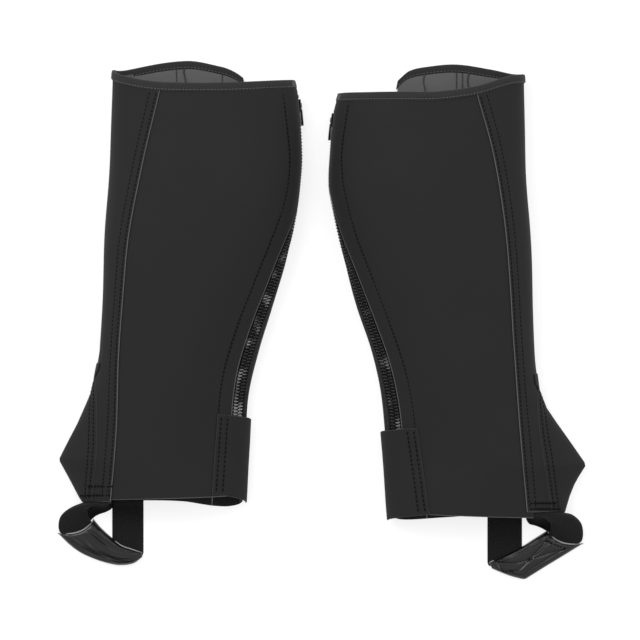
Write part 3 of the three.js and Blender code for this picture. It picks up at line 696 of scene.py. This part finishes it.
def shinSide(gaiter):
    row = 9.5
    grid = patchGrid(gaiter, edge(gaiter, "farShinSeam", 0.5, far=True), edge(gaiter, "shinSeam"),
                     bottomEdge(gaiter), under(gaiter, rimGap), near=(0, 0.7, 3), low=hemSteps,
                     far=(0, 0.7) + whereRow(3.0)[1:] + whereRow(row) + (13, 15, 18), columns=56,
                     rows=fineRows)
    toeTop = gaiter["toeStart"] - 10
    underToe = ease(grid["reach"] - gaiter["toeSeam"](grid["y"]), 0.5, 4) * ease(toeTop - grid["y"], 0, 10)
    lap = 1 - ease(grid["end"], 6.5, 15)
    outside = wall + 0.75 * lap + groove(grid, grid["end"] - row, 0.55) + settle(grid) - 0.9 * underToe
    outside += groove(grid, grid["end"] - 3.0, 0.5)
    inside = outside - 1.7 + 0.65 * lap
    surface, parts = layer(grid, outside, inside)
    parts.append(stitches(*lineAt(grid, surface, "end", row), skip=(5, 6), radius=0.46))
    parts.append(stitches(*lineAt(grid, surface, "end", 3.0), skip=(5, 6)))
    ride(gaiter, "FrontPanel", parts, layerMaterials, "shell", "front_panel")

    near = angleOf(gaiter, gaiter["toeSeam"](samples), samples) * np.sqrt(ease(toeTop + 4 - samples, 0, 22))
    rows = (4.0, 9.0)
    inner = (0, 0.7, 1.5) + whereRow(rows[0])[1:] + whereRow(rows[1])
    grid = patchGrid(gaiter, -near, near, level(gaiter["frontBottom"] - 0.3), level(toeTop), near=inner,
                     far=inner, low=hemSteps, columns=24, rows=fineRows // 2)
    pulls = sum(groove(grid, grid[side] - at, 0.5) for side in ("start", "end") for at in rows)
    outside = wall + 0.85 + pulls + settle(grid, 0.2) - 0.2 * bell(grid["end"], 1.5)
    surface, parts = layer(grid, outside, outside - 1.15, trim=4)
    for at in rows:
        parts.append(stitches(*lineAt(grid, surface, "end", at), skip=(5, 22)))
        parts.append(stitches(*lineAt(grid, surface, "start", at), skip=(5, 22)))
    for y, low, high in gaiter["boxRows"]:
        reach = np.linspace(low, high, 40)
        height = np.full(40, float(y))
        angle = angleOf(gaiter, reach, height)
        out = outwardAt(gaiter, angle, height)
        over = reach > gaiter["toeSeam"](y)
        points = offsetPoint(gaiter, angle, height, np.where(over, wall + 0.95, wall + 0.5))
        for shift in (-0.4, 0.5):
            parts.append(stitches(points + np.array([0, shift, 0]), out, pitch=3.2, length=2.5, radius=0.5,
                                  skip=(0, 0)))
    ride(gaiter, "ToePiece", parts, layerMaterials, "shell", "toe_piece")

    grid = patchGrid(gaiter, edge(gaiter, "stretchSeam", 0.5, far=True),
                     edge(gaiter, "farShinSeam", 0.4, far=True),
                     bottomEdge(gaiter), under(gaiter, rimGap), columns=24, rows=fineRows // 2)
    _, parts = layer(grid, wall + 0 * grid["y"], 0.1, trim=4)
    ride(gaiter, "InnerPanel", parts, layerMaterials, "shell", "inner_side_panel")

    grid = patchGrid(gaiter, edge(gaiter, "stretchSeam", 0.5, far=True), edge(gaiter, "shinSeam", -0.5),
                     lambda angle: bottomEdge(gaiter)(angle) + hem, under(gaiter, rimGap), columns=130,
                     rows=fineRows // 2)
    inset = -0.7 - 3.5 * np.exp(-4 * grid["angle"] ** 2)
    ridge = sum(0.9 * size * bell(grid["reach"] - at, 1.1) for at, size in gaiter["liningSeams"])
    ridge = ridge * (grid["angle"] < -0.3) * ease(grid["top"], 5, 12)
    _, parts = layer(grid, inset, inset - 1 - settle(grid, 0.12) - ridge, cut=(), face=0, back=0, trim=0)
    for at, size in gaiter["liningSeams"]:
        rim = gaiter["farTop"](-angleOf(gaiter, float(at), 225.0))
        y = np.linspace(gaiter["frontBottom"] + hem, rim - 7.5, 120)
        angle = -angleOf(gaiter, np.full(120, float(at)) + 0.8 * np.sin(y / 3.1) * (size > 0.8), y)
        out = outwardAt(gaiter, angle, y)
        points = offsetPoint(gaiter, angle, y, np.full(120, -1.75 - 0.9 * size))
        parts.append(stitches(points, -out, material=1, pitch=2.2, length=2.1, radius=0.35 + 0.35 * size,
                              skip=(0, 0)))
    ride(gaiter, "InnerLining", parts, [liningFace, liningThread], "shell", "inner_lining")


def stretchSide(gaiter):
    turn = 2 * math.pi
    grid = patchGrid(gaiter, edge(gaiter, "zipEdge", 13.1),
                     edge(gaiter, "stretchSeam", 0.4, far=True, turn=turn),
                     lambda angle: gaiter["farBottom"](angle - turn),
                     lambda angle: gaiter["stretchTop"](angle - turn),
                     near=(0, 0.7, 2, 3.5, 4.2, 5), columns=60, rows=fineRows)
    outside = 1.5 + 0.3 * bell(grid["start"] - 1.2, 1.5) - 0.35 * bell(grid["start"] - 3.8, 0.7)
    outside += 0.15 * np.sin(grid["start"] * 2 * math.pi / 5.5) + settle(grid, 0.15)
    _, parts = layer(grid, outside, 0.1, face=0, back=1, trim=2)
    ride(gaiter, "StretchPanel", parts, [stretchFace, panelBack, stretchFace], "shell",
         "stretch_panel")


# A folded strip over the top edge. Its section runs up the outside, over the edge and down the inside.
def bindingOn(gaiter, start, end, top, columns, thinner=0.0):
    turn = np.linspace(0, math.pi, 7)
    section = np.concatenate([
        np.stack([np.array([-8.7, -8.5, -7.8, -7.0, -6, -4.5, -3, -1.8]),
                  np.array([1.9, 2.5, 2.85, 2.7, 2.95, 3.0, 2.95, 2.8])], 1),
        np.stack([-1.6 + 1.6 * np.sin(turn), 0.35 + 2.35 * np.cos(turn)], 1),
        np.stack([np.array([-3, -4.8, -6.4, -7.4, -7.8, -7.9]),
                  np.array([-2.1, -2.3, -2.3, -2.2, -1.9, -1.2])], 1),
    ])
    share = np.linspace(0, 1, columns)
    yStart = top(np.array([0.0]))
    yEnd = top(np.array([0.0]))
    for _ in range(6):
        yStart = top(np.interp(yStart, samples, start))
        yEnd = top(np.interp(yEnd, samples, end))
    around = np.interp(yStart, samples, start) * (1 - share) + np.interp(yEnd, samples, end) * share
    rim = top(around)
    run = distances(pointOn(gaiter, around, rim))
    pucker = 0.16 * np.sin(run * 2 * math.pi / 3.3) * bell(section[:, :1].T + 7.0, 1.5).T
    y = rim[:, None] + section[None, :, 0]
    angles = np.broadcast_to(around[:, None], y.shape)
    wander = 0.25 * np.sin(run / 9.1) + 0.2 * np.sin(run / 4.7 + 1)
    offset = section[None, :, 1] + pucker.T + (wander[:, None] * (section[None, :, 1] > 0)) * 0.6
    offset = offset - thinner * np.sign(section[None, :, 1] - 0.3)
    points = offsetPoint(gaiter, angles, y, offset)
    skin = np.stack([np.broadcast_to(run[:, None], y.shape), y], -1)
    parts = [part(points, quads(*y.shape, gaiter["side"] < 0, closeB=True), 0, skin)]
    for last, turned in ((0, False), (-1, True)):
        parts.append(capOn(points[last], turned ^ (gaiter["side"] < 0)))
    for height, stand in ((-7.0, 3.0), (-6.3, -2.3)):
        line = offsetPoint(gaiter, around, rim + height, np.full_like(run, stand))
        out = outwardAt(gaiter, around, rim + height) * np.sign(stand)
        parts.append(stitches(line, out, material=1, pitch=3.3, length=2.2, radius=0.34, skip=(2, 2)))
    return parts, around, rim, run


def bindings(gaiter):
    topEdge = under(gaiter, 0)
    parts, around, rim, run = bindingOn(gaiter, edge(gaiter, "shinSeam", -4), edge(gaiter, "zipEdge"),
                                        topEdge, 150, 0.08)
    back = run[-1] - run
    zig = np.linspace(0, 1, 60)
    heights = -7.6 + 6.4 * (0.5 + 0.5 * np.sin(zig * 2 * math.pi * 7))
    angle = np.interp(3 + 9 * zig, back[::-1], around[::-1])
    y = np.interp(3 + 9 * zig, back[::-1], rim[::-1]) + heights
    line = offsetPoint(gaiter, angle, y, np.full(60, 3.15))
    parts.append(stitches(line, outwardAt(gaiter, angle, y), material=1, pitch=1.6, length=1.6, radius=0.32,
                          skip=(0, 0)))
    bendWithWing(gaiter, "OuterBinding", parts, [bindingFace, bindingThread], "outer_top_binding")
    parts, _, _, _ = bindingOn(gaiter, edge(gaiter, "stretchSeam", 0.5, far=True),
                               edge(gaiter, "shinSeam", -0.2),
                               topEdge, 320)
    ride(gaiter, "InnerBinding", parts, [bindingFace, bindingThread], "shell", "inner_top_binding")


# Places on the zip: millimetres across from the cut edge, millimetres up from the bottom stop, and height.
def zipMap(gaiter):
    across = np.arange(-16.0, 34.0, 1.0)
    table = [edge(gaiter, "zipEdge", across[0])]
    for _ in across[1:]:
        table.append(stepRound(gaiter, table[-1], samples, 1.0))
    table = np.array(table)
    heights = np.arange(gaiter["zipBottom"] - 20.0, gaiter["zipTop"] + 8.0, 1.0)
    middle = pointOn(gaiter, np.interp(heights, samples, table[22]), heights)
    run = distances(middle)
    run -= np.interp(gaiter["zipBottom"], heights, run)

    def at(d, s, height):
        y = np.interp(s, run, heights)
        i = np.clip(d - across[0], 0, len(across) - 1.001)
        j = np.clip(y - samples[0], 0, len(samples) - 1.001)
        a, b = i.astype(int), j.astype(int)
        u, v = i - a, j - b
        angle = ((table[a, b] * (1 - u) + table[a + 1, b] * u) * (1 - v)
                 + (table[a, b + 1] * (1 - u) + table[a + 1, b + 1] * u) * v)
        return offsetPoint(gaiter, angle, y, height)

    length = np.interp(gaiter["zipTop"] - sliderRoom, heights, run)
    return at, length


# One row of coil: a flattened helix, d = middle + A cos t, height = h + B sin t, that climbs a pitch each
# turn.
def coilRow(gaiter, at, length, middle, turned, phase):
    pitch, steps = 3.1, 14
    turns = int(length / pitch)
    t = np.linspace(0, 2 * math.pi * turns, turns * steps + 1) + phase
    s = 1 + pitch * (t - phase) / (2 * math.pi) + 0.55 * np.cos(t)
    d = middle + turned * 2.35 * np.cos(t)
    h = 1.25 + 1.0 * np.sin(t)
    path = at(d, s, h)
    along = unit(np.gradient(path, axis=0))
    out = unit(at(d, s, h + 0.5) - at(d, s, h - 0.5))
    sideways = unit(np.cross(out, along))
    return sweep(path, sideways, unit(np.cross(along, sideways)), 0.62 * circle(7), 0)


# A strip under the zip, with side walls on the rims that are given.
def zipStrip(gaiter, at, across, along, height, thickness, rims=()):
    flip = gaiter["side"] > 0
    over, below = at(across, along, height), at(across, along, height - thickness)
    skin, faces = np.stack([across, along], -1), quads(*across.shape, flip)
    parts = [part(over, faces, 0, skin), part(below, faces[:, ::-1], 0, skin)]
    for i in rims:
        rim = np.stack([over[i], below[i]])
        parts.append(part(rim, quads(2, rim.shape[1], (i == 0) ^ flip)))
    return parts


def zips(gaiter):
    name = gaiter["name"]
    at, length = zipMap(gaiter)
    rowMiddle = {"outer": cutGap + rowWidth / 2, "inner": cutGap + rowWidth + rowGap + rowWidth / 2}
    for which, body in (("outer", "outer_wing"), ("inner", "shell")):
        turned = 1 if which == "outer" else -1
        parts = [coilRow(gaiter, at, length, rowMiddle[which], turned, 0 if which == "outer" else math.pi)]
        s = np.linspace(-10, length + sliderRoom, 200)
        edgeAt = rowMiddle[which] - turned * 2.5
        line = at(np.full(200, edgeAt), s, np.full(200, 1.9))
        out = unit(at(np.full(200, edgeAt), s, np.full(200, 2.4)) - line)
        inside = s < length
        parts.append(stitches(line[inside], out[inside], material=1, pitch=3.1, length=2.4, radius=0.35,
                              skip=(0, 0)))
        ride(gaiter, which.title() + "Coil", parts, [coilNylon, thread], body,
             which + "_zip_teeth")

        across = (-14, 5.9) if which == "outer" else (6.9, 26.5)
        d, s2 = np.meshgrid(np.linspace(*across, 24), np.linspace(-14, length + 19, 220), indexing="ij")
        parts = zipStrip(gaiter, at, d, s2, -1.45 + 0.12 * np.sin(s2 / 7 + d), 0.8, (0, -1))
        ride(gaiter, which.title() + "Tape", parts, [tapeFace], body, which + "_zip_tape")

    d, s2 = np.meshgrid(np.linspace(-6, 20, 20), np.linspace(-12, length + 8, 160), indexing="ij")
    parts = zipStrip(gaiter, at, d, s2, -3.4 + 0 * d, 0.9)
    ride(gaiter, "Guard", parts, [tapeFace], "shell", "zip_guard")
    for node in ("outer_zip_stop", "inner_zip_stop", "zip_pin", "zip_box"):
        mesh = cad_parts[name + "_" + node].data
        mesh.materials.clear()
        mesh.materials.append(plasticBlack)
    return at, length


# A rounded block on the zip, from a plan outline of half widths along its length.
def blockOn(at, across, lengths, halves, low, high, middleS, rounding=0.5):
    count = len(lengths)
    ring = []
    for share, height in ((1, low), (1, high - rounding), (1 - 0.09, high - rounding * 0.25), (1 - 0.2, high),
                          (-(1 - 0.2), high), (-(1 - 0.09), high - rounding * 0.25), (-1, high - rounding),
                          (-1, low)):
        ring.append(at(across + share * np.array(halves), middleS + np.array(lengths),
                       np.full(count, float(height))))
    shape = np.stack(ring, 1)
    parts = [part(shape, quads(count, 8, closeB=True), 0)]
    return parts + [capOn(shape[0], True, False), capOn(shape[-1], False, False)]


def sliders(gaiter, at, length):
    middle = length + sliderRoom - 9.0
    centre = cutGap + rowWidth + rowGap / 2
    plan = [-6.5, -6.3, -5.4, -2, 2.5, 5.2, 6.3, 6.5]
    halves = [2.6, 3.3, 3.8, 4.0, 4.6, 4.7, 4.2, 3.4]
    parts = blockOn(at, centre, plan, halves, 3.2, 4.2, middle)
    parts += blockOn(at, centre, plan, halves, -1.35, -0.65, middle, 0.3)
    parts += blockOn(at, centre, [-2.4, -2.1, -1, 1, 2.0, 2.3], [1.2, 1.5, 1.6, 1.6, 1.5, 1.2], 4.1, 5.4,
                     middle, 0.7)
    ride(gaiter, "Slider", parts, [sliderPaint], "zip_slider", "zip_slider")

    lengths = [-19.3, -19.0, -17.9, -15, -10, -6, -4.4, -3.7, -3.4]
    halves = [1.9, 2.5, 2.9, 3.0, 2.6, 2.3, 2.1, 1.8, 1.3]
    parts = blockOn(at, centre, lengths, halves, 4.4, 5.3, middle, 0.3)
    ride(gaiter, "Pull", parts, [sliderPaint], "zip_pull", "zip_pull")


def ankleTab(gaiter):
    rows = (4.0, 10.5)
    end = stepRound(gaiter, np.full_like(samples, math.pi), samples, 2.5)
    near = (0, 0.7, 1.5) + whereRow(rows[0])[1:] + whereRow(rows[1]) + (14, 16, 19)
    grid = patchGrid(gaiter, tabEdge(gaiter, -0.3), end, gaiter["tabBottom"], gaiter["tabTop"], near=near,
                     low=hemSteps, high=hemSteps, columns=26, rows=fineRows // 2)
    lift = wall + 0.1 + 2.2 * ease(grid["start"], 9, 22)
    pulls = sum(groove(grid, grid["start"] - at, 0.6) for at in rows)
    outside = lift + 1.55 + pulls + settle(grid, 0.2)
    outside += 0.35 * bell(grid["start"] - 26, 5) * np.sin(grid["y"] / 11)
    surface, parts = layer(grid, outside, outside - 1.5, trim=4)
    for at in rows:
        parts.append(stitches(*lineAt(grid, surface, "start", at), skip=(4, 3), pitch=4.3, length=3.1,
                              radius=0.65))
    (lowY, lowReach), (highY, highReach) = gaiter["tabFront"]
    bend(gaiter, "Tab", parts, layerMaterials,
         "ankle_tab")

    equator = np.full_like(samples, math.pi)
    for which, body, span, inside, outside in (("hook_patch", "ankle_tab", (-9.5, 0.5), 3.3, 4.15),
                                               ("loop_patch", "shell", (-7, 10), 2.2, 2.95)):
        grid = patchGrid(gaiter, stepRound(gaiter, equator, samples, span[0]),
                         stepRound(gaiter, equator, samples, span[1]),
                         lambda angle: gaiter["tabBottom"](angle) + patchInset,
                         lambda angle: gaiter["tabTop"](angle) - patchInset,
                         columns=10, rows=40)
        _, parts = layer(grid, outside, inside, face=0, back=0, trim=0)
        ride(gaiter, which.title().replace("_", ""), parts, [hookFace], body, which)


# A rounded band between two edge lines, given as (u across, v along, 3) rows, with its own thickness.
def bandPart(middle, thickness, material, flip, skinScale):
    du = np.gradient(middle, axis=0)
    dv = np.gradient(middle, axis=1)
    out = unit(np.cross(dv, du)) * (-1 if flip else 1)
    across = np.linspace(-1, 1, len(middle))[:, None]
    half = thickness / 2 * np.sqrt(np.clip(1 - np.abs(across) ** 10, 0, 1))[..., None]
    over, below = middle + out * half, middle - out * half
    loop = np.concatenate([over, below[::-1]])
    run = distances(middle.mean(0))
    u = np.concatenate([across[:, 0], across[::-1, 0]])[:, None] * skinScale / 2
    skin = np.stack(np.broadcast_arrays(u, run[None]), -1)
    faces = quads(len(loop), middle.shape[1], flip, closeA=True)
    return part(loop, faces, material, skin)


def spline(points, count):
    points = np.array(points, float)
    run = distances(points)
    at = np.linspace(0, run[-1], count)
    return np.stack([smooth(np.stack([run, points[:, k]], 1))(at) for k in range(points.shape[1])], 1)


# The elastic on the upper side leaves the shin, turns over and goes into the sleeve.
def outerElastic(gaiter):
    side, count = gaiter["side"], 60
    inner, outer = spline(gaiter["strapInner"], count), spline(gaiter["strapOuter"], count)
    u = np.linspace(0, 1, 41)[:, None]
    t = np.linspace(0, 1, count)[None]
    reach = inner[:, 0] * (1 - u) + outer[:, 0] * u
    y = inner[:, 1] * (1 - u) + outer[:, 1] * u
    startReach = gaiter["strapInner"][0][0] * (1 - u) + gaiter["strapOuter"][0][0] * u
    bottom = np.full_like(startReach, float(gaiter["frontBottom"]))
    startZ = pointOn(gaiter, angleOf(gaiter, startReach, bottom), bottom)[..., 2] - 1
    eased = t * t * (3 - 2 * t)
    z = startZ * (1 - eased) + 2.4 * eased
    z = z + 5 * np.sin(math.pi * t) * (u * 0.9) - 2 * np.sin(math.pi * t) * (1 - u) ** 2
    middle = np.stack([side * reach, y + 0 * z, np.maximum(z, 1.2)], -1)
    back = middle[:, :1] + np.array([0, 5.5, -0.3])
    middle = np.concatenate([back, middle], 1)
    parts = [bandPart(middle, 1.6, 0, side > 0, 30)]
    turned = spline(gaiter["strapUnder"], count)
    stay = int(0.8 * count)
    near = middle[2, 1:stay + 1] + np.array([0, 0, -1.4])
    far = np.stack([side * turned[:stay, 0], turned[:stay, 1], 1.6 + 0 * turned[:stay, 0]], -1)
    share = np.linspace(0, 1, 16)[:, None, None]
    hollow = far[None] * share + near[None] * (1 - share)
    hollow[..., 2] -= 2.5 * np.sin(math.pi * share[..., 0]) * np.minimum(1, hollow[..., 2] / 6)
    # The turned-under band takes the near-black thread material instead of the elastic's own: painted shade
    # in the hollow under the turn.
    parts.append(bandPart(hollow, 1.2, 1, side < 0, 14))
    bend(gaiter, "OuterElastic", parts, [elasticFace, thread],
         "outer_strap_elastic")


# The elastic on the side that lies on the table runs straight into the sleeve's mouth.
def innerElastic(gaiter):
    side = gaiter["side"]
    low, high = gaiter["farElastic"]
    u = np.linspace(low, high, 31)[:, None]
    top = gaiter["frontBottom"] + 6
    upper = spline(gaiter["sleeveUpper"], 80)
    end = np.interp(u, upper[::-1, 0], upper[::-1, 1]) - 4
    end = end + 4 * (1 - np.sqrt(1 - np.clip((low + 4 - u) / 4, 0, 1) ** 2))
    v = np.linspace(0, 1, 50)[None]
    y = top * (1 - v) + end * v
    z = 1.0 + 0.35 * np.sin(y / 5.2) + 1.9 * ease(y, top - 12, top - 6)
    middle = np.stack(np.broadcast_arrays(side * u, y, z), -1)
    parts = [bandPart(middle, 1.5, 0, side < 0, high - low)]
    bend(gaiter, "InnerElastic", parts, [elasticFace],
         "inner_strap_elastic")


# The vinyl sleeve: a flat tube with bowed creases and stitch rows on its upper face.
def sleeve(gaiter):
    side, count = gaiter["side"], 120
    sleeveAcross, sleeveAlong = 34, 85
    upper, lower = spline(gaiter["sleeveUpper"], count), spline(gaiter["sleeveLower"], count)
    u = np.linspace(0, 1, 61)[:, None]
    v = np.linspace(0, 1, count)[None]
    reach = upper[:, 0] * (1 - u) + lower[:, 0] * u
    y = upper[:, 1] * (1 - u) + lower[:, 1] * u
    y = y - 6.5 * np.sin(math.pi * u**0.75) * bell(v, 0.14)
    body = np.clip(1 - np.abs(2 * u - 1) ** 6, 0, 1) ** 0.5
    ends = np.clip(1 - np.abs(2 * v - 1) ** 24, 0, 1) ** 0.5
    wrinkle = np.zeros((61, count))
    for at, bow, size, slope, middle, reachOn in gaiter["creases"]:
        line = at + bow * np.sin(math.pi * v) + slope * (v - 0.5)
        dip = bell(u - line, 0.04) - 0.8 * bell(u - line - 0.075, 0.045)
        wrinkle -= size * dip * bell(v - middle, reachOn)
    high = 0.5 + 6.3 * body * (0.55 + 0.45 * ends) + wrinkle * body
    frameU, frameV = (0.2, 0.8), (0.12, 0.88)
    corners = dict(a=(frameU[0], frameV[0]), b=(frameU[0], frameV[1]), c=(frameU[1], frameV[1]),
                   d=(frameU[1], frameV[0]))
    runs = [("a", "b"), ("b", "c"), ("c", "d"), ("d", "a"), ("a", "c"), ("b", "d")]
    if side < 0:
        runs = [("a", "b"), ("c", "d")]
    lines = []
    for first, last in runs:
        (u1, v1), (u2, v2) = corners[first], corners[last]
        if side > 0:
            du, dv = (u2 - u1) * sleeveAcross, (v2 - v1) * sleeveAlong
            fromU, fromV = (u - u1) * sleeveAcross, (v - v1) * sleeveAlong
            off = (fromU * dv - fromV * du) / math.hypot(du, dv)
            within = (fromU * du + fromV * dv) / (du * du + dv * dv)
            high = high - 0.75 * bell(off, 1.5) * ease(within, -0.03, 0.02) * (1 - ease(within, 0.98, 1.03))
        lines.append((np.linspace(u1, u2, 60), np.linspace(v1, v2, 60)))
    over = np.stack([side * reach, y, np.maximum(high, 0.6)], -1)
    below = np.stack([side * reach, y, np.full_like(high, 0.15)], -1)
    loop = np.concatenate([over, below[::-1]])
    skin = np.stack(np.broadcast_arrays(v * sleeveAlong, np.concatenate([u, u[::-1] + 1]) * sleeveAcross), -1)
    faces = quads(*loop.shape[:2], side < 0, closeA=True)
    rim = np.zeros((len(loop), count - 1), bool)
    rim[:, 0] = True
    parts = [part(loop, faces, np.where(rim.reshape(-1), 1, 0), skin)]
    for last in (0, -1):
        cap = np.stack([over[:, last], below[:, last]])
        parts.append(part(cap, quads(2, cap.shape[1], (last == 0) ^ (side < 0)), 1, smoothed=False))
    for lineU, lineV in lines:
        i, j = lineU * 60, lineV * (count - 1)
        a, b = i.astype(int).clip(0, 59), j.astype(int).clip(0, count - 2)
        p, q = (i - a)[:, None], (j - b)[:, None]
        points = ((over[a, b] * (1 - p) + over[a + 1, b] * p) * (1 - q)
                  + (over[a, b + 1] * (1 - p) + over[a + 1, b + 1] * p) * q)
        out = np.tile([0.0, 0.0, 1.0], (len(points), 1))
        parts.append(stitches(points, out, material=2, pitch=2.8, length=2.2, radius=0.3, skip=(0.5, 0.5)))
    for path, size in ((over[:, 0], 1.0), (over[1, int(gaiter["bareEnd"] * count):], 0.8)):
        path = path + np.array([0, 0, 0.2])
        forward = unit(np.gradient(path, axis=0))
        sideways = unit(np.cross(forward, [0, 0, 1.0]))
        swell = np.sqrt(np.sin(math.pi * np.linspace(0.02, 0.98, len(path))))[:, None]
        thickness = size * (0.35 + 0.65 * swell)
        parts.append(sweep(path, sideways * thickness, np.cross(sideways, forward) * thickness,
                           circle(8), 3))
    ride(gaiter, "Sleeve", parts, [sleeveVinyl, cutEdge, thread, paleEdge], "understrap",
         "strap_sleeve")


for gaiter in (left, right):
    outerSide(gaiter)
    shinSide(gaiter)
    stretchSide(gaiter)
    bindings(gaiter)
    at, length = zips(gaiter)
    sliders(gaiter, at, length)
    ankleTab(gaiter)
    outerElastic(gaiter)
    innerElastic(gaiter)
    sleeve(gaiter)
    print(gaiter["name"], "gaiter made")


# A plain pale floor and soft light from two large lamps.
def floorAndLight():
    bpy.ops.mesh.primitive_plane_add(size=8, location=(0, 0, -0.0002))
    floor = bpy.context.object
    floor.name = "floor"
    material, _, _, shader = newMaterial("paper", (0.3, 0.3, 0.3), 0.9, specular=0.05)
    shader.inputs["Emission Color"].default_value = (1, 1, 1, 1)
    shader.inputs["Emission Strength"].default_value = 0.72
    floor.data.materials.append(material)
    world = bpy.data.worlds.new("studio")
    world.use_nodes = True
    world.node_tree.nodes["Background"].inputs["Color"].default_value = (1, 1, 1, 1)
    world.node_tree.nodes["Background"].inputs["Strength"].default_value = 0.85
    bpy.context.scene.world = world
    for name, spot, size, energy in (("key", (-0.9, 1.0, 1.6), 1.4, 26), ("fill", (1.3, 0.4, 1.5), 1.4, 12)):
        light = bpy.data.lights.new(name, "AREA")
        light.size = size
        light.energy = energy
        lamp = bpy.data.objects.new(name, light)
        lamp.location = spot
        direction = -np.array(spot)
        lamp.rotation_euler = (math.atan2(math.hypot(direction[0], direction[1]), -direction[2]), 0,
                               math.atan2(direction[1], direction[0]) - math.pi / 2)
        bpy.context.scene.collection.objects.link(lamp)
    return floor


floorAndLight()

bpy.context.scene.view_settings.view_transform = "Standard"
camera = bpy.data.cameras.new("camera")
camera.lens = 531
camera.sensor_width = 36
camera.clip_end = 40
cameraObject = bpy.data.objects.new("camera", camera)
cameraObject.location = (-0.0014, 0.001, 9.0)
bpy.context.scene.collection.objects.link(cameraObject)
bpy.context.scene.camera = cameraObject

print("finishing")
